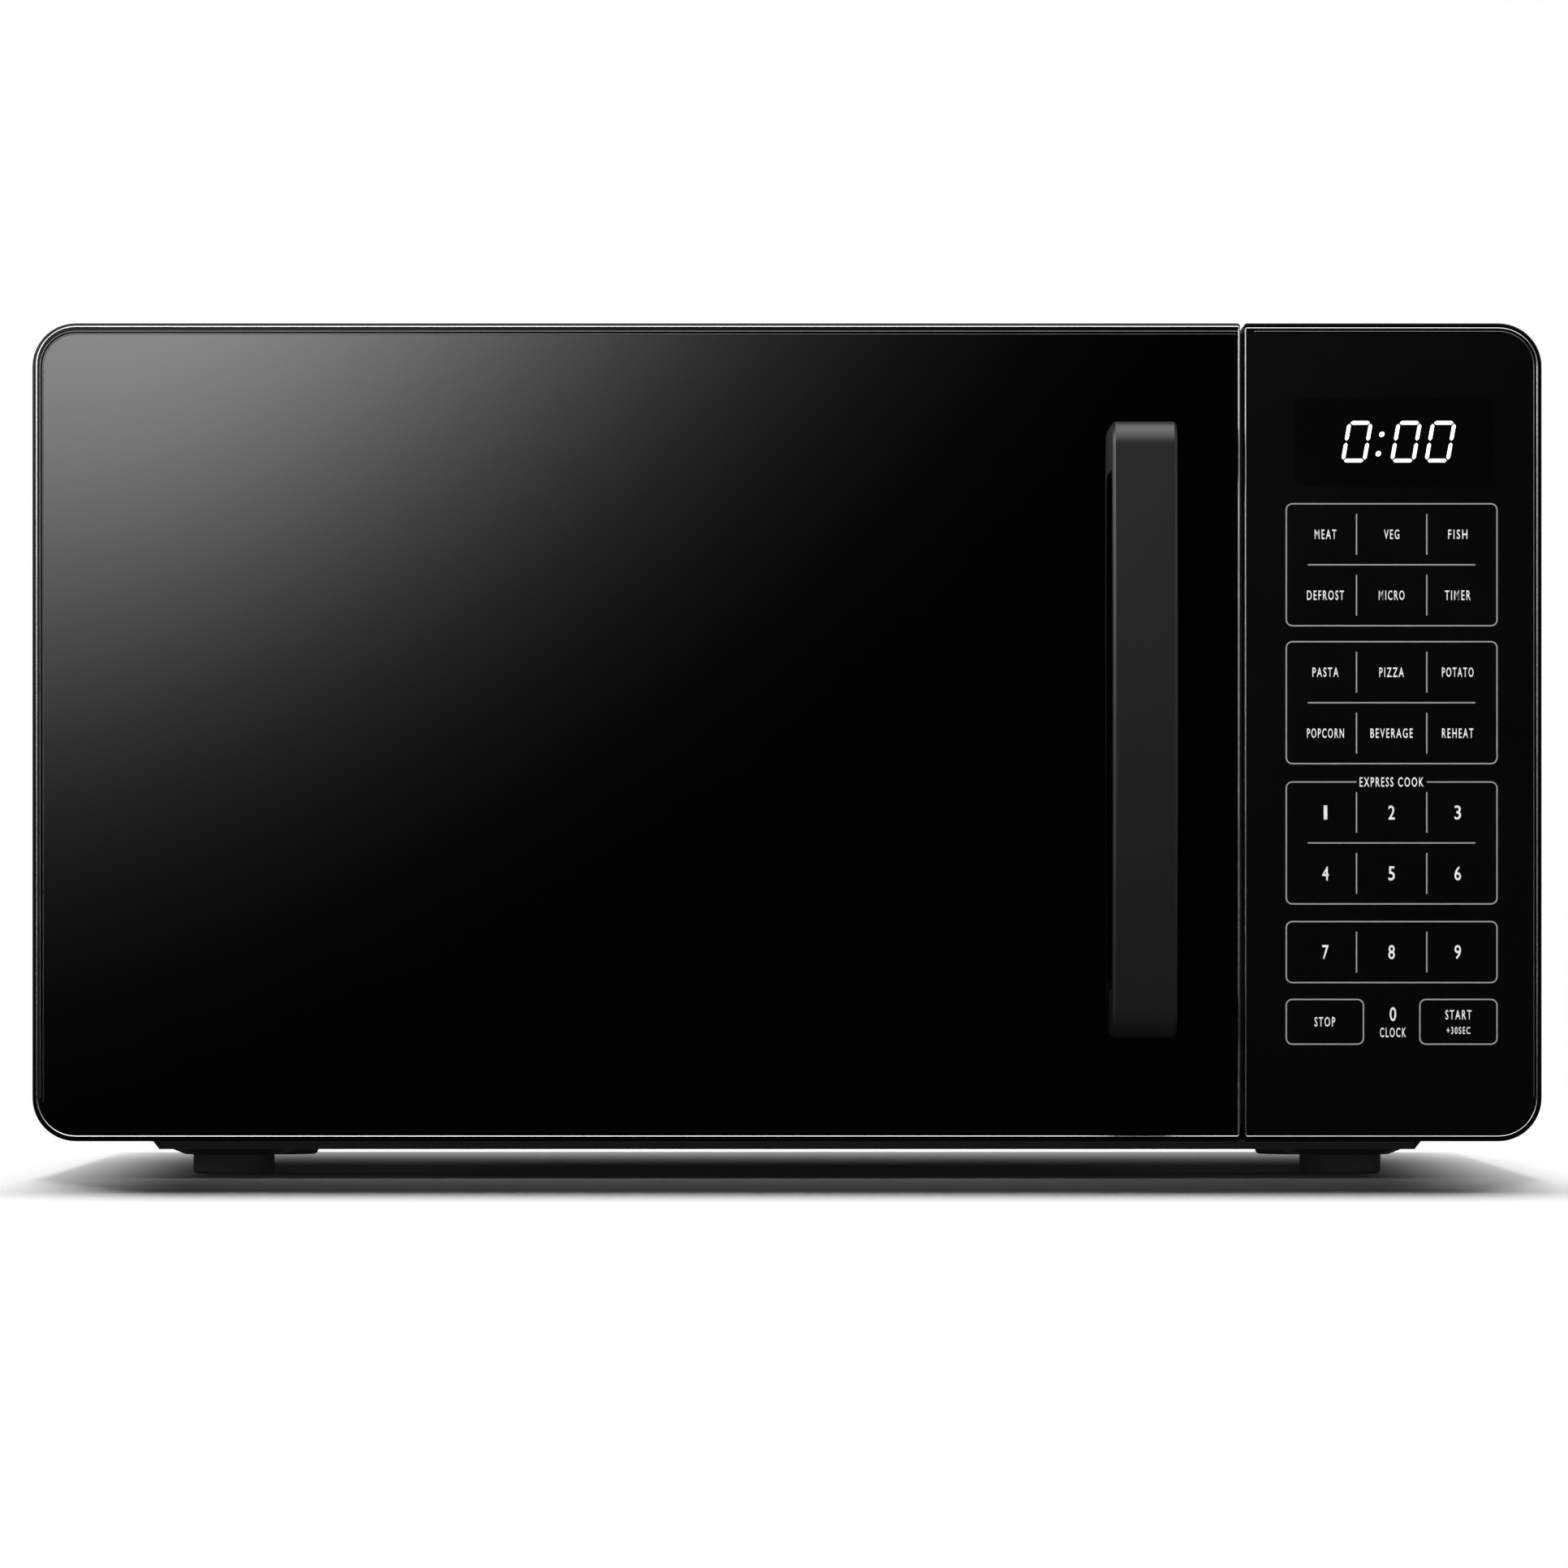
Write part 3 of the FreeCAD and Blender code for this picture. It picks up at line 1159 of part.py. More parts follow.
def control_relays():
    """What stands on the board's back: two relays, a small transformer and a buzzer."""
    start = -143.4
    relays = [box((150.0, 166.0), (start, start + 15.0), (z, z + 20.0)) for z in (60.0, 86.0)]
    transformer = box((176.0, 208.0), (start, start + 22.0), (60.0, 96.0))
    buzzer = rod(8.0, Vector(160.0, start, 130.0), 8.0, Y_AXIS)
    return group(*relays, transformer, buzzer)


NODES = {
    "outer_cabinet": outer_cabinet,
    "base_plate": base_plate,
    "rear_panel": rear_panel,
    "rear_spacers": rear_spacers,
    "cabinet_screws": cabinet_screws,
    "cord_gland": cord_gland,
    "feet": feet,
    "front_plate": front_plate,
    "cavity_wrap": cavity_wrap,
    "cavity_side_left": cavity_side_left,
    "cavity_side_right": cavity_side_right,
    "mica_cover": mica_cover,
    "waveguide": waveguide,
    "magnetron_frame": magnetron_frame,
    "magnetron_anode": magnetron_anode,
    "magnetron_antenna": magnetron_antenna,
    "transformer_core": transformer_core,
    "transformer_windings": transformer_windings,
    "capacitor": capacitor,
    "hv_diode": hv_diode,
    "fan_shroud": fan_shroud,
    "fan_stator": fan_stator,
    "fan_coil": fan_coil,
    "fan_rotor": fan_rotor,
    "fan_blade": fan_blade,
    "air_guide": air_guide,
    "turntable_motor": turntable_motor,
    "turntable_coupler": turntable_coupler,
    "glass_tray": glass_tray,
    "roller_ring": roller_ring,
    "lamp_holder": lamp_holder,
    "lamp_bulb": lamp_bulb,
    "thermal_cutouts": thermal_cutouts,
    "filter_board": filter_board,
    "latch_board": latch_board,
    "interlock_switches": interlock_switches,
    "interlock_lever": interlock_lever,
    "latch_hooks": latch_hooks,
    "latch_spring": latch_spring,
    "door_frame": door_frame,
    "door_glass": door_glass,
    "door_plate": door_plate,
    "door_screen": door_screen,
    "inner_window": inner_window,
    "choke_cover": choke_cover,
    "door_handle": door_handle,
    "handle_screws": handle_screws,
    "hinge_brackets": hinge_brackets,
    "hinge_pins": hinge_pins,
    "panel_frame": panel_frame,
    "panel_overlay": panel_overlay,
    "display_module": display_module,
    "control_board": control_board,
    "control_relays": control_relays,
}


def main():
    """Write each node's STEP file."""
    os.makedirs("parts", exist_ok=True)
    for name, make in NODES.items():
        make().exportStep(f"parts/{name}.step")
    for index in range(ARM_COUNT):
        roller(index).exportStep(f"parts/roller_{index + 1}.step")
    for name in switch_fronts():
        switch_plunger(name).exportStep(f"parts/{name}_plunger.step")


main()
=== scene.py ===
import logging
import math
from dataclasses import dataclass, field, replace
from enum import Enum
from typing import Callable, Sequence, Union

import bpy
from mathutils import Matrix, Vector


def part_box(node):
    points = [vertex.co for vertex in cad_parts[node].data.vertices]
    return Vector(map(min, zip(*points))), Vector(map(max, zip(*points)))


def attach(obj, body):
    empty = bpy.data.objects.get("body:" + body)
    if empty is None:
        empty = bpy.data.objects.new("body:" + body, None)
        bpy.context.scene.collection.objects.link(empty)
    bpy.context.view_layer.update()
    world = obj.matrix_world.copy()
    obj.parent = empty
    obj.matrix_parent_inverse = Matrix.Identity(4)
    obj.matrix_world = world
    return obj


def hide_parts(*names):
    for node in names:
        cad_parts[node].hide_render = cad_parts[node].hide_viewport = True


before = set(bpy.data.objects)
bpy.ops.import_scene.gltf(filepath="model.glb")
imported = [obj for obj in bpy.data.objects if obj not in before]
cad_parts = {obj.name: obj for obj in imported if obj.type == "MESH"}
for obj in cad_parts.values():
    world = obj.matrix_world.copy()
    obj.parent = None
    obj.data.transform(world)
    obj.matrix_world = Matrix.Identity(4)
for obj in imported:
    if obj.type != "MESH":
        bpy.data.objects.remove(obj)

LOG = logging.getLogger("microwave")
MM = 0.001
Colour = tuple[float, float, float]
Number = Union[float, "Value"]


# ---- shader maths -------------------------------------------------------------------------
def operator(operation: str, swapped: bool = False) -> Callable[["Value", Number], "Value"]:
    """Make one of Value's operators.

    Args:
        operation: The Math node's operation.
        swapped: Whether the other value comes first.

    Returns:
        The method.
    """

    def method(self: "Value", other: Number) -> "Value":
        """Add the node to this value and the other."""
        first, second = (other, self) if swapped else (self, other)
        return self._math(operation, first, second)

    return method


class Value:
    """One output socket, with operators that add the Math nodes they stand for."""

    def __init__(self, graph: "Graph", socket: bpy.types.NodeSocket) -> None:
        """Keep the output socket and the graph that new nodes go into."""
        self.graph = graph
        self.socket = socket

    def _math(self, operation: str, first: Number, second: Number) -> "Value":
        """Add a Math node on two values and give its result."""
        node = self.graph.node("ShaderNodeMath", {"operation": operation}, {0: first, 1: second})
        return Value(self.graph, node.outputs[0])

    __add__ = __radd__ = operator("ADD")
    __sub__ = operator("SUBTRACT")
    __rsub__ = operator("SUBTRACT", swapped=True)
    __mul__ = __rmul__ = operator("MULTIPLY")
    __truediv__ = operator("DIVIDE")
    __lt__ = operator("LESS_THAN")
    __pow__ = operator("POWER")

    def wrapped(self, period: float) -> "Value":
        """The distance to the nearest multiple of period."""
        return self._math("PINGPONG", self, period / 2)

    def exponential(self) -> "Value":
        """The number e raised to this."""
        return self._math("EXPONENT", self, 0.0)

    def clamped(self, top: float = 1.0) -> "Value":
        """Held between nought and top."""
        return self._math("MINIMUM", self._math("MAXIMUM", self, 0.0), top)


class Graph:
    """The node tree of one material or world."""

    def __init__(self, owner: Union[bpy.types.Material, bpy.types.World]) -> None:
        """Start an empty tree.

        Args:
            owner: The material or world that the tree belongs to.
        """
        self.owner = owner
        owner.use_nodes = True
        self.tree = owner.node_tree
        self.tree.nodes.clear()

    @classmethod
    def for_material(cls, name: str) -> "Graph":
        """The empty tree of a new material."""
        return cls(bpy.data.materials.new(name))

    def node(self, kind: str, settings: dict[str, object], values: dict) -> bpy.types.Node:
        """Add one node.

        Args:
            kind: The node's type.
            settings: Its own settings, set first.
            values: What each input gets, by its name or its number.

        Returns:
            The new node.
        """
        node = self.tree.nodes.new(kind)
        for key, setting in settings.items():
            setattr(node, key, setting)
        for key, value in values.items():
            source = value.socket if isinstance(value, Value) else value
            if isinstance(source, bpy.types.NodeSocket):
                self.tree.links.new(source, node.inputs[key])
            else:
                node.inputs[key].default_value = source
        return node

    def place(self, scale: Sequence[float] = (1.0, 1.0, 1.0)) -> bpy.types.NodeSocket:
        """The object's own coordinates in metres.

        Args:
            scale: How much to stretch each of them.

        Returns:
            The coordinates.
        """
        source = self.node("ShaderNodeTexCoord", {}, {}).outputs["Object"]
        mapping = self.node("ShaderNodeMapping", {}, {"Vector": source, "Scale": scale})
        return mapping.outputs["Vector"]

    def axes(self) -> tuple["Value", "Value", "Value"]:
        """The object's own X, Y and Z in metres."""
        split = self.node("ShaderNodeSeparateXYZ", {}, {"Vector": self.place()})
        return tuple(Value(self, split.outputs[index]) for index in range(3))

    def noise(
        self, grain: float, detail: float = 3.0, stretch: Sequence[float] = (1, 1, 1)
    ) -> "Value":
        """Soft noise.

        Args:
            grain: The size of its lumps in metres.
            detail: How many finer layers it has.
            stretch: How much finer it is along each axis.

        Returns:
            The noise, from nought to one.
        """
        settings = {"Vector": self.place(stretch), "Scale": 1.0 / grain, "Detail": detail}
        return Value(self, self.node("ShaderNodeTexNoise", {}, settings).outputs[0])

    def cells(self, size: float, output: str = "Distance") -> "Value":
        """Voronoi cells.

        Args:
            size: About how large a cell is in metres.
            output: Whether to give the distance to a cell's middle or its own shade.

        Returns:
            The chosen output.
        """
        node = self.node("ShaderNodeTexVoronoi", {}, {"Vector": self.place(), "Scale": 1.0 / size})
        return Value(self, node.outputs[output])

    def mixed(self, amount: Number, first: Colour, second: Colour) -> bpy.types.NodeSocket:
        """A colour between two, by amount."""
        values = {0: amount, 6: (*first, 1.0), 7: (*second, 1.0)}
        return self.node("ShaderNodeMix", {"data_type": "RGBA"}, values).outputs[2]

    def tinted(self, amount: Number, colour: Colour, low: float, high: float) -> bpy.types.NodeSocket:
        """A colour between two shades of one, by amount."""
        return self.mixed(amount, pale(colour, low), pale(colour, high))

    def bump(self, height: Number, depth: float) -> bpy.types.NodeSocket:
        """A normal from a height between nought and one, where one is depth metres."""
        values = {"Height": height, "Distance": depth, "Strength": 1.0}
        return self.node("ShaderNodeBump", {}, values).outputs["Normal"]

    def surface(self, values: dict) -> bpy.types.Material:
        """Finish the material with one principled shader.

        Args:
            values: The shader's inputs by name.

        Returns:
            The finished material.
        """
        shader = self.node("ShaderNodeBsdfPrincipled", {}, values)
        self.node("ShaderNodeOutputMaterial", {}, {"Surface": shader.outputs[0]})
        return self.owner


def pale(colour: Colour, factor: float) -> Colour:
    """The colour made lighter or darker by a factor."""
    return tuple(min(channel * factor, 1.0) for channel in colour)


# ---- finishes -----------------------------------------------------------------------------
@dataclass(frozen=True)
class Finish:
    """A finish that makes its material once.

    Attributes:
        name: The material's name.
        colour: Its main colour.
        roughness: Its mean roughness.
    """

    name: str
    colour: Colour
    roughness: float = 0.4

    def material(self) -> bpy.types.Material:
        """The finish's material, made the first time it is asked for."""
        label = f"look_{self.name}"
        return bpy.data.materials.get(label) or self.shade(Graph.for_material(label))

    def shade(self, graph: Graph) -> bpy.types.Material:
        """Build the material. Each finish has its own."""
        raise NotImplementedError


@dataclass(frozen=True)
class Coat(Finish):
    """A cloudy colour and gloss over a fine relief, which suits most materials.

    Attributes:
        cloud: The size of the clouds in metres, and their detail.
        relief: The size of the relief in metres, and its detail.
        stretch: How much finer the relief is along each axis.
        shades: How far the clouds darken and lighten the colour.
        gloss: What the clouds, the relief and every place add to the roughness.
        depth: How deep the relief is in metres.
        metallic: One for bare metal, and nought for the rest.
        specular: How strongly it mirrors, where 0.5 is plain plastic.
        index: Its refractive index.
    """

    cloud: tuple[float, float] = (0.03, 4.0)
    relief: tuple[float, float] = (0.0006, 2.0)
    stretch: tuple[float, float, float] = (1.0, 1.0, 1.0)
    shades: tuple[float, float] = (0.85, 1.15)
    gloss: tuple[float, float, float] = (0.08, 0.04, -0.06)
    depth: float = 0.00003
    metallic: float = 0.0
    specular: float = 0.5
    index: float = 1.5

    def shade(self, graph: Graph) -> bpy.types.Material:
        """Clouds vary the tone and the gloss, and the relief the normal and the gloss.

        Args:
            graph: The new material's empty tree.

        Returns:
            The finished material.
        """
        cloud = graph.noise(*self.cloud)
        relief = graph.noise(*self.relief, self.stretch)
        clouds_gloss, relief_gloss, plain_gloss = self.gloss
        return graph.surface({
            "Base Color": graph.tinted(cloud, self.colour, *self.shades),
            "Metallic": self.metallic,
            "Roughness": cloud * clouds_gloss + relief * relief_gloss + (self.roughness + plain_gloss),
            "IOR": self.index,
            "Specular IOR Level": self.specular,
            "Normal": graph.bump(relief, self.depth),
        })


@dataclass(frozen=True)
class TexturedPaint(Finish):
    """Powder coat on sheet steel: small rounded beads with a soft sheen."""

    bead: float = 0.0011
    depth: float = 0.00005

    def shade(self, graph: Graph) -> bpy.types.Material:
        """Beads from cells, broken up by noise, over a faint large-scale mottle.

        Args:
            graph: The new material's empty tree.

        Returns:
            The finished material.
        """
        beads = graph.cells(self.bead)
        fine = graph.noise(self.bead / 2, 3.0)
        cloud = graph.noise(0.06, 3.0)
        height = (1 - beads) * 0.7 + fine * 0.3
        return graph.surface({
            "Base Color": graph.tinted(cloud, self.colour, 0.8, 1.25),
            "Roughness": cloud * 0.08 + beads * 0.1 + (self.roughness - 0.08),
            "Normal": graph.bump(height, self.depth),
        })


@dataclass(frozen=True)
class ZincSheet(Finish):
    """Zinc-coated steel: crystal spangle, rolling lines and dull patches."""

    spangle: float = 0.005

    def shade(self, graph: Graph) -> bpy.types.Material:
        """Spangle cells vary the tone and the gloss; fine lines follow the rolling.

        Args:
            graph: The new material's empty tree.

        Returns:
            The finished material.
        """
        spangle = graph.cells(self.spangle, output="Color")
        lines = graph.noise(0.0015, 2.0, (1.0, 0.02, 1.0))
        patches = graph.noise(0.05, 4.0)
        tone = spangle * 0.45 + lines * 0.25 + patches * 0.3
        return graph.surface({
            "Base Color": graph.tinted(tone, self.colour, 0.86, 1.12),
            "Metallic": 0.85,
            "Roughness": tone * 0.16 + (self.roughness - 0.08),
            "Normal": graph.bump(lines, 0.00002),
        })


@dataclass(frozen=True)
class Enamel(Finish):
    """Baked enamel on the cavity: glossy, with a slight orange peel and fine specks."""

    peel: float = 0.003

    def shade(self, graph: Graph) -> bpy.types.Material:
        """Orange peel in the normal and specks in the colour.

        Args:
            graph: The new material's empty tree.

        Returns:
            The finished material.
        """
        peel = graph.noise(self.peel, 1.0)
        specks = graph.noise(0.0008, 1.0)
        cloud = graph.noise(0.05, 3.0)
        speck_mask = ((specks - 0.62) * 12.0).clamped()
        tone = speck_mask * 0.5 + cloud * 0.3
        return graph.surface({
            "Base Color": graph.tinted(tone, self.colour, 1.0, 0.72),
            "Roughness": cloud * 0.1 + (self.roughness - 0.05),
            "Metallic": 0.15,
            "Normal": graph.bump(peel, 0.00004),
        })


@dataclass(frozen=True)
class ClearGlass(Finish):
    """Clear pressed glass or clear plastic, with a trace of flow in its surface."""

    index: float = 1.5

    def shade(self, graph: Graph) -> bpy.types.Material:
        """A transmitting surface with a slow wave and slightly uneven gloss.

        Args:
            graph: The new material's empty tree.

        Returns:
            The finished material.
        """
        flow = graph.noise(0.02, 2.0)
        return graph.surface({
            "Base Color": (*self.colour, 1.0),
            "Roughness": flow * 0.03 + self.roughness,
            "Transmission Weight": 1.0,
            "IOR": self.index,
            "Normal": graph.bump(flow, 0.00003),
        })


@dataclass(frozen=True)
class Laminations(Finish):
    """Varnished steel sheets stacked along X."""

    pitch: float = 0.001

    def shade(self, graph: Graph) -> bpy.types.Material:
        """A dark groove at every sheet's edge, under uneven varnish.

        Args:
            graph: The new material's empty tree.

        Returns:
            The finished material.
        """
        across = graph.axes()[0]
        groove = (across.wrapped(self.pitch) < self.pitch * 0.09) * 1.0
        varnish = graph.noise(0.01, 4.0)
        tone = (varnish + groove * 0.6).clamped()
        return graph.surface({
            "Base Color": graph.tinted(tone, self.colour, 1.3, 0.5),
            "Metallic": 0.6,
            "Roughness": varnish * 0.2 + self.roughness,
            "Normal": graph.bump(1 - groove, 0.0001),
        })


@dataclass(frozen=True)
class Winding(Finish):
    """Enamelled copper wire, wound in level turns up Z."""

    wire: float = 0.0009

    def shade(self, graph: Graph) -> bpy.types.Material:
        """Rounded turns in the normal, and painted shade that darkens each turn towards the gaps
        between them.

        Args:
            graph: The new material's empty tree.

        Returns:
            The finished material.
        """
        up = graph.axes()[2]
        turn = up.wrapped(self.wire) / (self.wire / 2)
        varnish = graph.noise(0.006, 3.0)
        # Painted shade: the tone darkens the copper towards the gaps between turns, mixed with the
        # varnish's random unevenness.
        tone = turn * 0.7 + varnish * 0.3
        return graph.surface({
            "Base Color": graph.tinted(tone, self.colour, 0.45, 1.0),
            "Metallic": 0.8,
            "Roughness": varnish * 0.2 + self.roughness,
            "Normal": graph.bump(turn, 0.0003),
        })


@dataclass(frozen=True)
class CircuitBoard(Finish):
    """A board with printed tracks and round pads."""

    pitch: float = 0.005

    def shade(self, graph: Graph) -> bpy.types.Material:
        """Tracks and pads in a brighter, raised tone.

        Args:
            graph: The new material's empty tree.

        Returns:
            The finished material.
        """
        x, _, z = graph.axes()
        wander = graph.noise(0.02, 1.0) * 0.004
        tracks = (x + wander).wrapped(self.pitch) < 0.0006
        rungs = (z + wander).wrapped(self.pitch * 3) < 0.0005
        pads = graph.cells(self.pitch) < 0.2
        copper = (tracks * 1.0 + rungs + pads).clamped()
        return graph.surface({
            "Base Color": graph.mixed(copper, self.colour, (0.42, 0.4, 0.22)),
            "Roughness": self.roughness - copper * 0.15,
            "Normal": graph.bump(copper, 0.00004),
        })


@dataclass(frozen=True)
class Lit(Finish):
    """A lit display segment, a little uneven.

    Attributes:
        strength: How strongly it shines.
    """

    strength: float = 1.0

    def shade(self, graph: Graph) -> bpy.types.Material:
        """Emission with a faint unevenness, over a pale diffuser.

        Args:
            graph: The new material's empty tree.

        Returns:
            The finished material.
        """
        glow = graph.noise(0.002, 2.0)
        return graph.surface({
            "Base Color": (*self.colour, 1.0),
            "Roughness": self.roughness,
            "Emission Color": graph.mixed(glow, pale(self.colour, 0.9), self.colour),
            "Emission Strength": self.strength,
        })


CABINET_PAINT = TexturedPaint("cabinet_paint", (0.016, 0.016, 0.017), 0.44)
BASE_PAINT = TexturedPaint("base_paint", (0.008, 0.008, 0.008), 0.5)
ZINC = ZincSheet("zinc_sheet", (0.56, 0.57, 0.58), 0.44)
GREY_ENAMEL = Enamel("grey_enamel", (0.33, 0.34, 0.35), 0.3)
FRONT_GLASS = Coat(
    "front_glass", (0.0006, 0.0006, 0.0006), 0.02, cloud=(0.02, 5.0), relief=(0.09, 1.0),
    shades=(0.8, 1.2), gloss=(0.02, 0.0, 0.0), depth=0.00002, index=1.52,
)
BEZEL = Coat(
    "bezel_gloss", (0.0012, 0.0012, 0.0012), 0.22,
    gloss=(0.04, 0.02, -0.03), depth=0.000002, specular=0.1,
)
PANEL_GLOSS = replace(BEZEL, name="panel_gloss")
LENS = replace(
    BEZEL, name="display_lens", colour=(0.0014, 0.0014, 0.0014), roughness=0.18, specular=0.2
)
OVERLAY = Coat(
    "overlay_film", (0.0016, 0.0016, 0.0017), 0.22,
    gloss=(0.05, 0.025, -0.0375), depth=0.000004, specular=0.2,
)
HANDLE = Coat(
    "handle_satin", (0.0075, 0.0075, 0.0078), 0.33,
    gloss=(0.06, 0.03, -0.045), depth=0.000006, specular=0.35,
)
BLACK_PLASTIC = Coat(
    "black_plastic", (0.012, 0.012, 0.013), 0.5, relief=(0.0009, 2.0), depth=0.00006
)
WHITE_PLASTIC = Coat("white_plastic", (0.62, 0.61, 0.58), 0.42)
RING_PLASTIC = Coat("ring_plastic", (0.66, 0.64, 0.58), 0.38)
PART_PLASTIC = Coat("part_plastic", (0.03, 0.03, 0.035), 0.35)
RUBBER = Coat(
    "foot_rubber", (0.008, 0.008, 0.008), 0.7, cloud=(0.004, 5.0), relief=(0.0005, 2.0),
    shades=(0.8, 1.25), gloss=(0.0, 0.15, -0.07), depth=0.00005,
)
MICA = replace(
    RUBBER, name="mica_sheet", colour=(0.5, 0.42, 0.3), roughness=0.5, cloud=(0.006, 5.0),
    shades=(1 / 1.35, 1.35),
)
CERAMIC = replace(
    RUBBER, name="ceramic_stem", colour=(0.7, 0.66, 0.6), roughness=0.5, shades=(1 / 1.08, 1.08)
)
TRAY_GLASS = ClearGlass("tray_glass", (0.9, 0.96, 0.94), 0.02)
BULB_GLASS = ClearGlass("bulb_glass", (0.98, 0.96, 0.9), 0.01)
PANE = ClearGlass("clear_pane", (0.9, 0.92, 0.93), 0.04, index=1.49)
ALUMINIUM = Coat(
    "fin_aluminium", (0.8, 0.8, 0.82), 0.35, cloud=(0.012, 4.0), relief=(0.0004, 3.0),
    stretch=(1.0, 1.0, 0.03), shades=(0.8, 1.1), gloss=(0.1, 0.15, -0.12), depth=0.000005,
    metallic=1.0,
)
SCREW_METAL = replace(ALUMINIUM, name="screw_metal", colour=(0.6, 0.6, 0.6), roughness=0.32)
SPRING_METAL = replace(ALUMINIUM, name="spring_metal", colour=(0.5, 0.5, 0.52), roughness=0.3)
TRIM = replace(
    ALUMINIUM, name="polished_trim", colour=(0.5, 0.5, 0.51), roughness=0.2, depth=0.0000003
)
GLASS_EDGE = replace(TRIM, name="glass_edge", colour=(0.2, 0.205, 0.21), roughness=0.3)
CORE = Laminations("core_laminations", (0.1, 0.1, 0.11), 0.45)
COPPER = Winding("copper_winding", (0.62, 0.24, 0.1), 0.3)
BOARD = CircuitBoard("circuit_board", (0.2, 0.13, 0.04), 0.5)
INK = Coat(
    "print_white", (0.86, 0.86, 0.86), 0.5, cloud=(0.0008, 3.0), shades=(0.92, 1.06),
    gloss=(0.1, 0.0, 0.0), depth=0.0,
)
LINE_INK = replace(INK, name="print_grey", colour=(0.27, 0.27, 0.275))
SEGMENT = Lit("lit_segment", (1.0, 1.0, 1.0), 0.5)


# ---- modelling helpers --------------------------------------------------------------------
class Bench:
    """The few modelling steps that every piece shares, each done with the usual operators."""

    @staticmethod
    def edit() -> None:
        """Enter edit mode with everything selected."""
        bpy.ops.object.mode_set(mode="EDIT")
        bpy.ops.mesh.select_all(action="SELECT")

    @staticmethod
    def leave() -> None:
        """Go back to object mode."""
        bpy.ops.object.mode_set(mode="OBJECT")

    @staticmethod
    def close() -> None:
        """Turn all faces outwards and go back to object mode."""
        bpy.ops.mesh.select_all(action="SELECT")
        bpy.ops.mesh.normals_make_consistent(inside=False)
        Bench.leave()

    @staticmethod
    def clear() -> None:
        """Leave edit mode and deselect everything."""
        if bpy.context.object and bpy.context.object.mode != "OBJECT":
            Bench.leave()
        bpy.ops.object.select_all(action="DESELECT")

    @staticmethod
    def only(obj: bpy.types.Object) -> None:
        """Select one object and make it the active one.

        Args:
            obj: The object.
        """
        Bench.clear()
        obj.select_set(True)
        bpy.context.view_layer.objects.active = obj

    @staticmethod
    def settle(obj: bpy.types.Object) -> None:
        """Move the object's place, turn and scale into its mesh."""
        Bench.only(obj)
        bpy.ops.object.transform_apply(location=True, rotation=True, scale=True)

    @staticmethod
    def joined(name: str, parts: Sequence[bpy.types.Object]) -> bpy.types.Object:
        """Join settled objects into one.

        Args:
            name: The new object's name.
            parts: The objects.

        Returns:
            The joined object.
        """
        Bench.clear()
        for part in parts:
            part.select_set(True)
        bpy.context.view_layer.objects.active = parts[0]
        bpy.ops.object.join()
        whole = bpy.context.object
        whole.name = name
        whole.data.name = name
        return whole

    @staticmethod
    def sheet(width: float, height: float, corner: float, segments: int = 6) -> bpy.types.Object:
        """A flat rounded rectangle in the XY plane, centred on the origin.

        Args:
            width: Its size along X.
            height: Its size along Y.
            corner: The radius of its corners.
            segments: The steps in each corner.

        Returns:
            The object in edit mode, with all of it selected.
        """
        Bench.clear()
        bpy.ops.mesh.primitive_plane_add(size=1.0)
        obj = bpy.context.object
        obj.scale = (width, height, 1.0)
        bpy.ops.object.transform_apply(scale=True)
        Bench.edit()
        if corner > 0:
            bpy.ops.mesh.bevel(offset=corner, segments=segments, affect="VERTICES")
        bpy.ops.mesh.select_all(action="SELECT")
        return obj

    @staticmethod
    def thicken(depth: float) -> None:
        """Extrude the selected flat faces towards -Z by depth, and leave edit mode."""
        bpy.ops.mesh.extrude_region_move(TRANSFORM_OT_translate={"value": (0.0, 0.0, -depth)})
        Bench.close()

    @staticmethod
    def tube(
        x: tuple[float, float],
        z: tuple[float, float],
        corners: tuple[float, float],
        thick: float,
        keep: Callable[[Vector], bool],
    ) -> bpy.types.Object:
        """A thin round rod along part of a rounded rectangle, lying in the XY plane.

        Args:
            x: The rectangle's left and right.
            z: Its bottom and top, which lie along Y until the piece is stood up.
            corners: The radii of its left and right corners.
            thick: The rod's radius.
            keep: Says of an edge's middle, measured from the rectangle's own, whether it stays.

        Returns:
            The rod, centred on the origin.
        """
        obj = Bench.sheet(x[1] - x[0], z[1] - z[0], 0.0)
        for side, corner in zip((-1, 1), corners):
            Bench.pick(obj, lambda place: place.x * side > 0 and abs(place.y) > (z[1] - z[0]) * 0.49)
            bpy.ops.mesh.bevel(offset=corner, segments=10, affect="VERTICES")
        bpy.ops.mesh.select_all(action="SELECT")
        bpy.ops.mesh.delete(type="ONLY_FACE")
        Bench.leave()
        mesh = obj.data
        for edge in mesh.edges:
            ends = [mesh.vertices[index].co for index in edge.vertices]
            edge.select = not keep((ends[0] + ends[1]) / 2)
        bpy.ops.object.mode_set(mode="EDIT")
        bpy.ops.mesh.select_mode(type="EDGE")
        bpy.ops.mesh.delete(type="EDGE")
        bpy.ops.mesh.select_mode(type="VERT")
        Bench.leave()
        Bench.only(obj)
        bpy.ops.object.convert(target="CURVE")
        curve = bpy.context.object.data
        curve.bevel_depth = thick
        curve.bevel_resolution = 3
        curve.use_fill_caps = True
        bpy.ops.object.convert(target="MESH")
        rod = bpy.context.object
        Bench.edit()
        bpy.ops.mesh.remove_doubles(threshold=0.000001)
        Bench.close()
        bpy.ops.object.shade_smooth_by_angle(angle=math.radians(50))
        return rod

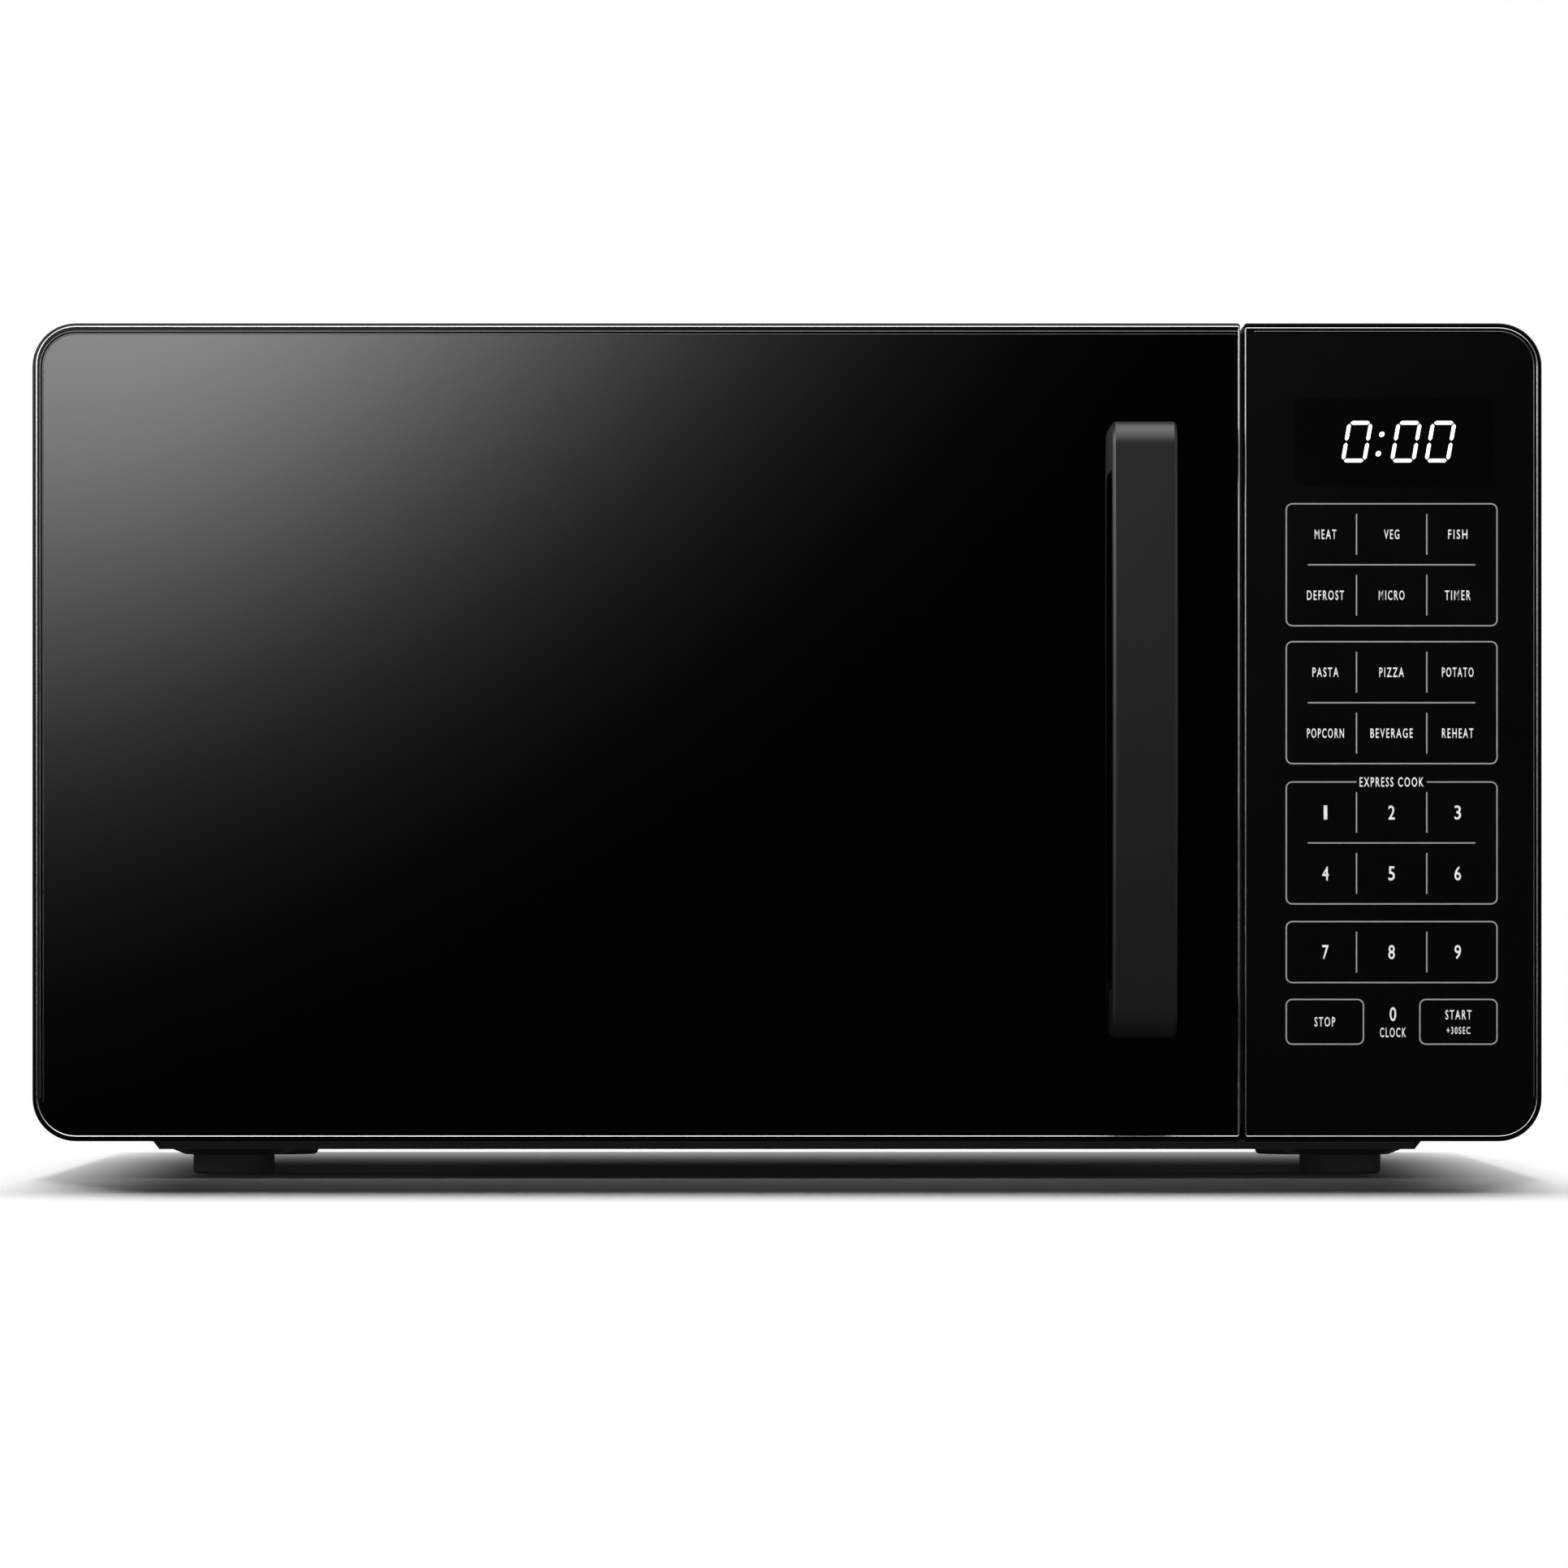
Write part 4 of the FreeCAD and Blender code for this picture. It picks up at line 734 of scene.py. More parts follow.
    @staticmethod
    def pick(obj: bpy.types.Object, test: Callable[[Vector], bool]) -> None:
        """Select the vertices that pass a test, and go back to edit mode.

        Args:
            obj: The object in edit mode.
            test: Says of a vertex's place whether it is selected.
        """
        bpy.ops.mesh.select_all(action="DESELECT")
        Bench.leave()
        for vertex in obj.data.vertices:
            vertex.select = test(vertex.co)
        bpy.ops.object.mode_set(mode="EDIT")

    @staticmethod
    def stand_up(obj: bpy.types.Object, x: float, y: float, z: float) -> bpy.types.Object:
        """Turn a flat piece to face the front and put its middle at a place.

        Args:
            obj: The piece, lying in the XY plane and facing up.
            x: Where its middle goes along X.
            y: The height of its face along Y.
            z: Where its middle goes along Z.

        Returns:
            The same object, settled.
        """
        obj.rotation_euler = (math.radians(90), 0.0, 0.0)
        obj.location = (x, y, z)
        Bench.settle(obj)
        return obj


def dress(obj: bpy.types.Object, finish: Finish) -> None:
    """Give every slot of an object one finish."""
    obj.data.materials.clear()
    obj.data.materials.append(finish.material())


def mount(obj: bpy.types.Object, body: str, finish: Finish) -> None:
    """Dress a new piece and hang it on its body.

    Args:
        obj: The piece.
        body: The body that it moves with.
        finish: Its finish.
    """
    dress(obj, finish)
    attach(obj, body)
    LOG.info("%s on %s: %d faces", obj.name, body, len(obj.data.polygons))


# ---- the control panel's print ------------------------------------------------------------
# How much wider than the others some letters are, against the capitals' height, and how much
# of the last letter's space isn't part of the word.
ODD_LETTERS = (("I", -0.15), ("1", -0.2), ("M", 0.12))
LAST_SPACE = 0.1


@dataclass(frozen=True)
class KeyBlock:
    """A framed block of keys, three to a row.

    Attributes:
        top: The height of its top line.
        rows: The legends of each row.
        title: A title set into the top line, or nothing.
        digits: Whether its legends are large numbers.
    """

    top: float
    rows: tuple[tuple[str, str, str], ...]
    title: str = ""
    digits: bool = False


@dataclass
class PanelPrint:
    """Everything that is printed on the touch membrane, and the lit digits.

    Attributes:
        left: The left line of the key blocks.
        right: The right line of the key blocks.
        row: The height of one row of keys.
        line: The width of a printed line.
        corner: The radius of a block's corners.
        cap: The height of a legend's capitals.
        numeral: The height of the number keys' digits.
        column: The distance between the legends' columns.
        thick: The thickness of the ink.
        letter: The width of a letter and its space, against the capitals' height.
        tracking: The space between letters, against the plain face's.
        weight: How much bolder the letters are than the plain face's.
    """

    left: float = 149.5 * MM
    right: float = 212.6 * MM
    row: float = 18.25 * MM
    line: float = 0.42 * MM
    corner: float = 2.0 * MM
    cap: float = 2.9 * MM
    numeral: float = 4.3 * MM
    column: float = 19.8 * MM
    thick: float = 0.03 * MM
    letter: float = 0.56
    tracking: float = 1.3
    weight: float = 0.012
    blocks: tuple[KeyBlock, ...] = (
        KeyBlock(201.9 * MM, (("MEAT", "VEG", "FISH"), ("DEFROST", "MICRO", "TIMER"))),
        KeyBlock(160.6 * MM, (("PASTA", "PIZZA", "POTATO"), ("POPCORN", "BEVERAGE", "REHEAT"))),
        KeyBlock(118.6 * MM, (("1", "2", "3"), ("4", "5", "6")), "EXPRESS COOK", True),
        KeyBlock(76.8 * MM, (("7", "8", "9"),), "", True),
    )
    lines: list[bpy.types.Object] = field(default_factory=list)
    legends: list[bpy.types.Object] = field(default_factory=list)

    @property
    def face(self) -> float:
        """The front of the overlay film."""
        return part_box("panel_overlay")[0][1] - self.thick

    def bar(self, x: float, z: float, width: float, height: float) -> None:
        """Add a straight printed line, its ends slightly rounded.

        Args:
            x: Its middle along X.
            z: Its middle along Z.
            width: Its size along X.
            height: Its size along Z.
        """
        obj = Bench.sheet(width, height, min(width, height) * 0.3, 2)
        Bench.thicken(self.thick)
        self.lines.append(Bench.stand_up(obj, x, self.face, z))

    def frame(self, x0: float, x1: float, z0: float, z1: float, gap: float = 0.0) -> None:
        """Add a rounded frame line.

        Args:
            x0: Its left edge.
            x1: Its right edge.
            z0: Its bottom edge.
            z1: Its top edge.
            gap: The width of the break in its top line.
        """
        obj = Bench.sheet(x1 - x0 + self.line, z1 - z0 + self.line, self.corner)
        bpy.ops.mesh.inset(thickness=self.line)
        bpy.ops.mesh.delete(type="FACE")
        if gap:
            self.break_top(obj, gap)
        bpy.ops.mesh.select_all(action="SELECT")
        Bench.thicken(self.thick)
        self.lines.append(Bench.stand_up(obj, (x0 + x1) / 2, self.face, (z0 + z1) / 2))

    @staticmethod
    def break_top(obj: bpy.types.Object, gap: float) -> None:
        """Cut a gap into the middle of a flat frame's top line.

        Args:
            obj: The frame, in edit mode.
            gap: The gap's width.
        """
        for side in (-gap / 2, gap / 2):
            bpy.ops.mesh.select_all(action="SELECT")
            bpy.ops.mesh.bisect(plane_co=(side, 0.0, 0.0), plane_no=(1.0, 0.0, 0.0))
        bpy.ops.mesh.select_all(action="DESELECT")
        Bench.leave()
        for face in obj.data.polygons:
            face.select = abs(face.center.x) < gap / 2 and face.center.y > 0
        bpy.ops.object.mode_set(mode="EDIT")
        bpy.ops.mesh.select_mode(type="FACE")
        bpy.ops.mesh.delete(type="FACE")
        bpy.ops.mesh.select_mode(type="VERT")

    def legend(self, words: str, x: float, z: float, cap: float) -> None:
        """Add one legend in narrow spaced letters, centred on a place.

        Args:
            words: What it says.
            x: Its middle along X.
            z: Its middle along Z.
            cap: The height of its capitals.
        """
        Bench.clear()
        bpy.ops.object.text_add()
        curve = bpy.context.object.data
        curve.body = words
        curve.align_x = "CENTER"
        curve.space_character = self.tracking
        curve.offset = self.weight
        curve.resolution_u = 3
        bpy.ops.object.convert(target="MESH")
        obj = bpy.context.object
        across = [vertex.co.x for vertex in obj.data.vertices]
        up = [vertex.co.y for vertex in obj.data.vertices]
        tall = cap / (max(up) - min(up))
        letters = len(words) * self.letter
        letters += sum(words.count(odd) * extra for odd, extra in ODD_LETTERS)
        wide = (letters - LAST_SPACE) * cap / (max(across) - min(across))
        centre = ((max(across) + min(across)) / 2 * wide, (max(up) + min(up)) / 2 * tall)
        obj.scale = (wide, tall, 1.0)
        obj.rotation_euler = (math.radians(90), 0.0, 0.0)
        obj.location = (x - centre[0], self.face, z - centre[1])
        Bench.settle(obj)
        Bench.edit()
        bpy.ops.mesh.remove_doubles(threshold=0.00001)
        bpy.ops.mesh.extrude_region_move(TRANSFORM_OT_translate={"value": (0.0, self.thick, 0.0)})
        Bench.close()
        self.legends.append(obj)

    def key_block(self, block: KeyBlock) -> None:
        """Add a block's frame, its inner lines and its legends.

        Args:
            block: The block.
        """
        bottom = block.top - self.row * len(block.rows)
        centre = (self.left + self.right) / 2
        third = (self.right - self.left) / 3
        self.frame(self.left, self.right, bottom, block.top, third if block.title else 0.0)
        for number, legends in enumerate(block.rows):
            middle = block.top - self.row * (number + 0.5)
            if number:
                self.bar(centre, block.top - self.row * number, self.row * 2.75, self.line)
            for side in (-0.5, 0.5):
                self.bar(centre + side * third, middle, self.line, self.row * 0.67)
            for place, words in enumerate(legends):
                cap = self.numeral if block.digits else self.cap
                self.legend(words, centre + (place - 1) * self.column, middle, cap)
        if block.title:
            self.legend(block.title, centre, block.top, self.cap)

    def action_keys(self) -> None:
        """Add the two framed keys at the bottom, and the zero key between them."""
        low = 40.1 * MM
        high = 53.5 * MM
        width = 23.1 * MM
        middle = (low + high) / 2
        centre = (self.left + self.right) / 2
        self.frame(self.left, self.left + width, low, high)
        self.frame(self.right - width, self.right, low, high)
        self.legend("STOP", self.left + width / 2, middle, self.cap)
        self.legend("START", self.right - width / 2, middle + 2.1 * MM, self.cap)
        self.legend("+30SEC", self.right - width / 2, middle - 2.6 * MM, self.cap * 0.75)
        self.legend("0", centre + 0.4 * MM, middle + 2.3 * MM, self.numeral)
        self.legend("CLOCK", centre + 0.4 * MM, middle - 3.2 * MM, self.cap)

    def build(self) -> None:
        """Print the whole keypad."""
        for block in self.blocks:
            self.key_block(block)
        self.action_keys()
        mount(Bench.joined("key_lines", self.lines), "oven", LINE_INK)
        mount(Bench.joined("key_legends", self.legends), "oven", INK)


class Segment(Enum):
    """The six strokes of a nought: place across, place up, and whether it is upright."""

    TOP = (0.0, 1.0, False)
    TOP_RIGHT = (0.5, 0.5, True)
    LOW_RIGHT = (0.5, -0.5, True)
    BOTTOM = (0.0, -1.0, False)
    LOW_LEFT = (-0.5, -0.5, True)
    TOP_LEFT = (-0.5, 0.5, True)


@dataclass
class Display:
    """The display window and its lit digits.

    Attributes:
        height: The height of a digit.
        width: The width of a digit, without its slant.
        stroke: The width of a segment.
        slant: How far a digit leans, in degrees.
        gap: The space between two segments' ends.
        thick: The thickness of a stroke.
        proud: How far the lit strokes stand in front of the window.
        dot: The width of one of the colon's dots.
        drop: How much lower than the digits' middle the colon sits.
        spread: How far each dot is from the colon's middle.
        digits: Each digit's middle along X.
        colon: The colon's middle along X.
        middle: The height of the digits' middle.
    """

    height: float = 12.4 * MM
    width: float = 7.5 * MM
    stroke: float = 1.1 * MM
    slant: float = 10.0
    gap: float = 0.62 * MM
    thick: float = 0.03 * MM
    proud: float = 0.02 * MM
    dot: float = 1.6 * MM
    drop: float = 0.7 * MM
    spread: float = 2.9 * MM
    digits: tuple[float, ...] = (170.65 * MM, 185.35 * MM, 195.65 * MM)
    colon: float = 177.7 * MM
    middle: float = 220.5 * MM

    @property
    def window(self) -> tuple[float, float, float, float]:
        """The window's place.

        Returns:
            Its left, right, bottom and top.
        """
        low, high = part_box("display_module")
        side, end = 1.5 * MM, 1.0 * MM
        return (low[0] - side, high[0] + side, low[2] - end, high[2] + end)

    def lens(self) -> None:
        """The smoked window in the film, with a fine raised edge."""
        left, right, bottom, top = self.window
        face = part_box("panel_overlay")[0][1]
        obj = Bench.sheet(right - left, top - bottom, 3.0 * MM, 8)
        bpy.ops.mesh.inset(thickness=0.25 * MM, depth=-0.01 * MM)
        bpy.ops.mesh.select_all(action="SELECT")
        Bench.thicken(0.05 * MM)
        Bench.stand_up(obj, (left + right) / 2, face - 0.03 * MM, (bottom + top) / 2)
        obj.name = "display_lens"
        mount(obj, "oven", LENS)

    def stroke_piece(self, length: float, upright: bool) -> bpy.types.Object:
        """One pointed stroke, lying flat at the origin.

        Args:
            length: Its length from tip to tip.
            upright: Whether it runs up instead of across.

        Returns:
            The stroke.
        """
        size = (self.stroke, length) if upright else (length, self.stroke)
        obj = Bench.sheet(*size, self.stroke * 0.499, 1)
        Bench.thicken(self.thick)
        return obj

    def digit(self, centre: float) -> list[bpy.types.Object]:
        """The six strokes of a nought.

        Args:
            centre: The digit's middle along X.

        Returns:
            The strokes, upright and at their places.
        """
        reach_x = self.width - self.stroke
        reach_z = (self.height - self.stroke) / 2
        strokes = []
        for segment in Segment:
            across, up, upright = segment.value
            length = (reach_z if upright else reach_x) - self.gap
            obj = self.stroke_piece(length, upright)
            obj.location = (centre + across * reach_x, self.middle + up * reach_z, 0.0)
            Bench.settle(obj)
            strokes.append(obj)
        return strokes

    def dots(self) -> list[bpy.types.Object]:
        """Make the colon.

        Returns:
            Its two round dots, lying flat at their places.
        """
        dots = []
        for side in (-1, 1):
            obj = Bench.sheet(self.dot, self.dot, self.dot / 2 - 0.01 * MM, 6)
            Bench.thicken(self.thick)
            obj.location = (self.colon, self.middle + side * self.spread - self.drop, 0.0)
            Bench.settle(obj)
            dots.append(obj)
        return dots

    def build(self) -> None:
        """The window, then the digits, slanted and stood up in front of it."""
        self.lens()
        strokes = [stroke for centre in self.digits for stroke in self.digit(centre)]
        lit = Bench.joined("display_digits", strokes + self.dots())
        lean = math.tan(math.radians(self.slant))
        lit.data.transform(Matrix.Translation((0.0, -self.middle, 0.0)))
        lit.data.transform(Matrix(((1, lean, 0, 0), (0, 1, 0, 0), (0, 0, 1, 0), (0, 0, 0, 1))))
        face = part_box("panel_overlay")[0][1] - self.thick - self.proud
        Bench.stand_up(lit, 0.0, face, self.middle)
        mount(lit, "oven", SEGMENT)


# ---- the bright lines round the door and the panel ------------------------------------------
class Side(Enum):
    """The sides that a line can leave out, by the way they lie from the middle."""

    LEFT = (-1, 0)
    RIGHT = (1, 0)
    BOTTOM = (0, -1)


@dataclass(frozen=True)
class Line:
    """One bright line round a node's outline.

    Attributes:
        name: The piece's name.
        node: The node whose outline it follows.
        insets: How far it stands in from the outline at the left, right, bottom and top.
        corners: The radii of its left and right corners.
        thick: Its radius.
        finish: Its finish.
        without: The sides that it leaves out.
    """

    name: str
    node: str
    insets: tuple[float, float, float, float]
    corners: tuple[float, float]
    thick: float
    finish: Finish
    without: tuple[Side, ...] = ()

    def keeps(self, place: Vector, reach: Vector) -> bool:
        """Say whether part of the outline stays.

        Args:
            place: The part's middle, measured from the outline's own middle.
            reach: How far the outline reaches from its middle.

        Returns:
            False on the sides that the line leaves out.
        """
        for side in self.without:
            across, up = side.value
            if across and place.x * across > reach.x - 0.1 * MM:
                return False
            if up and place.y * up > reach.y - max(self.corners):
                return False
        return True

    def build(self) -> None:
        """Run the rod round the outline and mount it."""
        low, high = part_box(self.node)
        left, right, bottom, top = self.insets
        x = (low[0] + left, high[0] - right)
        z = (low[2] + bottom, high[2] - top)
        reach = Vector(((x[1] - x[0]) / 2, (z[1] - z[0]) / 2))
        rod = Bench.tube(x, z, self.corners, self.thick, lambda place: self.keeps(place, reach))
        rod.name = self.name
        sink = self.thick * 0.3
        Bench.stand_up(rod, sum(x) / 2, low[1] + sink, sum(z) / 2)
        body = "door" if self.node.startswith("door") else "oven"
        mount(rod, body, self.finish)


DOOR_OPEN = (Side.RIGHT, Side.BOTTOM)
PANEL_OPEN = (Side.LEFT, Side.BOTTOM)
TRIM_LINES = (
    Line("door_bead", "door_frame",
         (1.4 * MM, 0.4 * MM, 1.45 * MM, 1.15 * MM), (11.6 * MM, 0.6 * MM), 0.3 * MM, TRIM),
    Line("door_line", "door_frame",
         (2.4 * MM, 0.5 * MM, 2.5 * MM, 2.5 * MM), (10.5 * MM, 0.6 * MM), 0.17 * MM,
         GLASS_EDGE, DOOR_OPEN),
    Line("glass_line", "door_glass",
         (0.3 * MM, 0.5 * MM, 0.3 * MM, 0.3 * MM), (9.7 * MM, 0.6 * MM), 0.16 * MM,
         GLASS_EDGE, DOOR_OPEN),
    Line("panel_bead", "panel_frame",
         (0.5 * MM, 1.35 * MM, 1.45 * MM, 1.55 * MM), (0.6 * MM, 11.6 * MM), 0.26 * MM, TRIM),
    Line("panel_line", "panel_frame",
         (3.0 * MM, 2.35 * MM, 2.5 * MM, 2.5 * MM), (0.6 * MM, 10.6 * MM), 0.15 * MM,
         GLASS_EDGE, PANEL_OPEN),
)


# ---- the door's screen --------------------------------------------------------------------
@dataclass
class Screen:
    """The perforated sheet between the front glass and the inner window.

    Attributes:
        pitch: The distance between holes.
        hole: The radius of a hole.
        margin: The plain border round the holes.
    """

    pitch: float = 3.0 * MM
    hole: float = 1.0 * MM
    margin: float = 9.0 * MM

    def tile(self) -> bpy.types.Object:
        """Make one square of sheet with a round hole.

        Returns:
            The square, lying flat at the origin.
        """
        obj = Bench.sheet(self.pitch, self.pitch, 0.0)
        bpy.ops.mesh.subdivide(number_cuts=1)
        Bench.pick(obj, lambda place: place.length < self.pitch * 0.1)
        bpy.ops.mesh.bevel(offset=self.hole, segments=2, affect="VERTICES")
        bpy.ops.mesh.delete(type="FACE")
        Bench.leave()
        return obj

    def build(self) -> None:
        """Repeat the tile over the window, add the plain border and stand it up."""
        low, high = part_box("door_screen")
        columns = int((high[0] - low[0] - 2 * self.margin) / self.pitch)
        rows = int((high[2] - low[2] - 2 * self.margin) / self.pitch)
        width = columns * self.pitch
        height = rows * self.pitch
        obj = self.tile()
        Bench.only(obj)
        for count, step in ((columns, (self.pitch, 0, 0)), (rows, (0, self.pitch, 0))):
            array = obj.modifiers.new("repeat", "ARRAY")
            array.count = count
            array.use_relative_offset = False
            array.use_constant_offset = True
            array.constant_offset_displace = step
            array.use_merge_vertices = True
            array.merge_threshold = 0.00001
            bpy.ops.object.modifier_apply(modifier=array.name)
        obj.location = (-(width - self.pitch) / 2, -(height - self.pitch) / 2, 0.0)
        Bench.settle(obj)
        border = Bench.sheet(high[0] - low[0], high[2] - low[2], 3.0 * MM)
        side = (high[0] - low[0] - width) / 2
        bpy.ops.mesh.inset(thickness=side)
        bpy.ops.mesh.delete(type="FACE")
        Bench.leave()
        whole = Bench.joined("perforated_screen", [obj, border])
        Bench.stand_up(whole, *((near + far) / 2 for near, far in zip(low, high)))
        mount(whole, "door", GREY_ENAMEL)
        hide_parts("door_screen")


# ---- CAD nodes' finishes ------------------------------------------------------------------
NODE_FINISHES: dict[Finish, tuple[str, ...]] = {
    CABINET_PAINT: ("outer_cabinet",),
    BASE_PAINT: ("base_plate",),
    ZINC: ("rear_panel", "waveguide", "magnetron_frame", "turntable_motor", "lamp_holder",
           "hinge_brackets"),
    GREY_ENAMEL: ("front_plate", "cavity_wrap", "cavity_side_left", "cavity_side_right",
                  "door_plate"),
    FRONT_GLASS: ("door_glass",),
    BEZEL: ("door_frame",),
    PANEL_GLOSS: ("panel_frame",),
    OVERLAY: ("panel_overlay",),
    HANDLE: ("door_handle",),
    BLACK_PLASTIC: ("rear_spacers", "cord_gland", "fan_shroud", "air_guide", "choke_cover",
                    "latch_hooks", "fan_blade"),
    WHITE_PLASTIC: ("thermal_cutouts", "latch_board", "primary_plunger", "secondary_plunger",
                    "monitor_plunger"),
    RING_PLASTIC: ("turntable_coupler", "roller_ring", "roller_1", "roller_2", "roller_3",
                   "interlock_lever"),
    PART_PLASTIC: ("hv_diode", "interlock_switches", "display_module", "control_relays"),
    RUBBER: ("feet",),
    MICA: ("mica_cover",),
    CERAMIC: ("magnetron_antenna",),
    TRAY_GLASS: ("glass_tray",),
    BULB_GLASS: ("lamp_bulb",),
    PANE: ("inner_window",),
    ALUMINIUM: ("magnetron_anode", "capacitor"),
    SCREW_METAL: ("cabinet_screws", "handle_screws", "hinge_pins"),
    SPRING_METAL: ("latch_spring",),
    CORE: ("transformer_core", "fan_stator", "fan_rotor"),
    COPPER: ("transformer_windings", "fan_coil"),
    BOARD: ("filter_board", "control_board"),
}


def dress_nodes() -> None:
    """Give every CAD node its finish."""
    for finish, names in NODE_FINISHES.items():
        for name in names:
            dress(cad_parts[name], finish)
            LOG.info("%s: %s", name, finish.name)


# ---- studio -------------------------------------------------------------------------------
@dataclass
class Studio:
    """The floor, the lights and the camera.

    Attributes:
        distance: How far the camera stands from the front glass.
        eye: The camera's height.
        middle: The height at the middle of the view.
        aside: The camera's place along X.
        view: The width that the camera sees at the front glass.
        sensor: The camera's sensor width in millimetres.
        reach: How far the floor stays whole from its middle.
        fade: The width over which it then fades away.
        box_place: The bright middle of the glass card, along X and Z.
        box_glow: How bright that middle is.
    """

    distance: float = 2.6
    eye: float = 0.07
    middle: float = 0.118
    aside: float = -0.0009
    view: float = 0.4695
    sensor: float = 36.0
    reach: float = 0.7
    fade: float = 0.6
    box_place: tuple[float, float] = (-0.2813, 0.4347)
    box_glow: float = 7.07

    def floor(self) -> None:
        """A pale floor that fades into the white far away, and, as painted light, behind and beside
        the oven.
        """
        Bench.clear()
        bpy.ops.mesh.primitive_plane_add(size=14.0)
        obj = bpy.context.object
        obj.name = "studio_floor"
        graph = Graph.for_material("studio_floor")
        tone = graph.mixed(graph.noise(0.4, 2.0), (0.93,) * 3, (0.95,) * 3)
        shade = graph.node("ShaderNodeBsdfDiffuse", {}, {"Color": tone})
        x, y, _ = graph.axes()
        far = ((x * x + y * y) ** 0.5 - self.reach).clamped() / self.fade
        # Painted light: under and behind the oven and past its sides the floor turns see-through, so
        # white shows where its shadow falls.
        behind = ((y + 0.03) / 0.3).clamped() ** 2.6
        beside = (((x * x) ** 0.5 - 0.17) / 0.07).clamped() ** 2.2
        gone = (far + behind + beside).clamped()
        clear = graph.node("ShaderNodeBsdfTransparent", {}, {})
        values = {0: gone, 1: shade.outputs[0], 2: clear.outputs[0]}
        mix = graph.node("ShaderNodeMixShader", {}, values)
        graph.node("ShaderNodeOutputMaterial", {}, {"Surface": mix.outputs[0]})
        obj.data.materials.append(graph.owner)
        obj.visible_glossy = False

    def lamp(self, kind: str, name: str, place: Vector, aim: Vector, power: float) -> bpy.types.Object:
        """Add one light that the camera doesn't see.

        Args:
            kind: Blender's type of light.
            name: Its name.
            place: Where it stands.
            aim: What it faces.
            power: Its strength.

        Returns:
            The light.
        """
        Bench.clear()
        bpy.ops.object.light_add(type=kind, location=place)
        lamp = bpy.context.object
        lamp.name = name
        lamp.data.energy = power
        lamp.rotation_euler = (aim - place).to_track_quat("-Z", "Y").to_euler()
        lamp.visible_camera = False
        return lamp

    def lamps(self) -> None:
        """A soft key from above and behind, and a low fill that the gloss doesn't see."""
        middle = Vector((0.0, 0.0, 0.12))
        key = self.lamp("SUN", "key_light", middle + Vector((-0.03, 0.8, 1.0)), middle, 5.0)
        key.data.angle = math.radians(20)
        key.visible_glossy = False
        for name, place, size, power in (
            ("front_fill", Vector((0.0, -3.0, 0.012)), (1.6, 0.02), 80.0),
            ("left_fill", Vector((-2.4, 0.3, 0.14)), (1.2, 0.2), 4.0),
            ("right_fill", Vector((2.4, 0.3, 0.14)), (1.2, 0.2), 4.0),
        ):
            fill = self.lamp("AREA", name, place, middle, power)
            fill.data.shape = "RECTANGLE"
            fill.data.size, fill.data.size_y = size
            fill.visible_glossy = False

    def card(
        self,
        name: str,
        place: Vector,
        turn: float,
        size: float,
        glow: Callable[[Value, Value, Value], Value],
    ) -> None:
        """Add a bright card that only the gloss sees.

        Args:
            name: Its name.
            place: Its middle.
            turn: The degrees that it is turned about Z from facing front to back.
            size: Its width and height.
            glow: Works out its brightness from its X, Y and Z.
        """
        Bench.clear()
        bpy.ops.mesh.primitive_plane_add(size=size)
        obj = bpy.context.object
        obj.name = name
        obj.rotation_euler = (math.radians(90), 0.0, math.radians(turn))
        obj.location = place
        Bench.settle(obj)
        graph = Graph.for_material(name)
        values = {"Color": (1.0, 1.0, 1.0, 1.0), "Strength": glow(*graph.axes())}
        shader = graph.node("ShaderNodeEmission", {}, values)
        graph.node("ShaderNodeOutputMaterial", {}, {"Surface": shader.outputs[0]})
        obj.data.materials.append(graph.owner)
        for kind in ("camera", "diffuse", "shadow", "transmission", "volume_scatter"):
            setattr(obj, f"visible_{kind}", False)

    def soft_box(self, x: Value, z: Value) -> Value:
        """A slanted soft patch of light.

        Args:
            x: A place along X.
            z: A place along Z.

        Returns:
            The brightness there, which falls off more steeply up than across.
        """
        across, up = x - self.box_place[0], z - self.box_place[1]
        fall = across * up * 28.1 - across * across * 25.8 - up * up * 36.8
        return fall.exponential() * self.box_glow

    @staticmethod
    def side_glow(z: Value, power: float, glow: float) -> Value:
        """The brightness of a side card, which grows from its bottom up.

        Args:
            z: A place along Z.
            power: How late it grows.
            glow: How bright it is near the top of the oven.

        Returns:
            The brightness there.
        """
        return ((z + 0.09) / 0.373).clamped(1.2) ** power * glow

    def cards(self) -> None:
        """One up to the left in front for the glass, and one at each side for the edges."""
        self.card("glass_card", Vector((-0.35, -1.654, 0.35)), 0.0, 1.6,
                  lambda x, y, z: self.soft_box(x, z))
        self.card("left_card", Vector((-1.25, -0.55, 0.4)), 90.0, 1.4,
                  lambda x, y, z: self.side_glow(z, 3.5, 3.0) + 0.04)
        self.card("right_card", Vector((1.25, -0.55, 0.4)), 90.0, 1.4,
                  lambda x, y, z: self.side_glow(z, 1.5, 0.75))

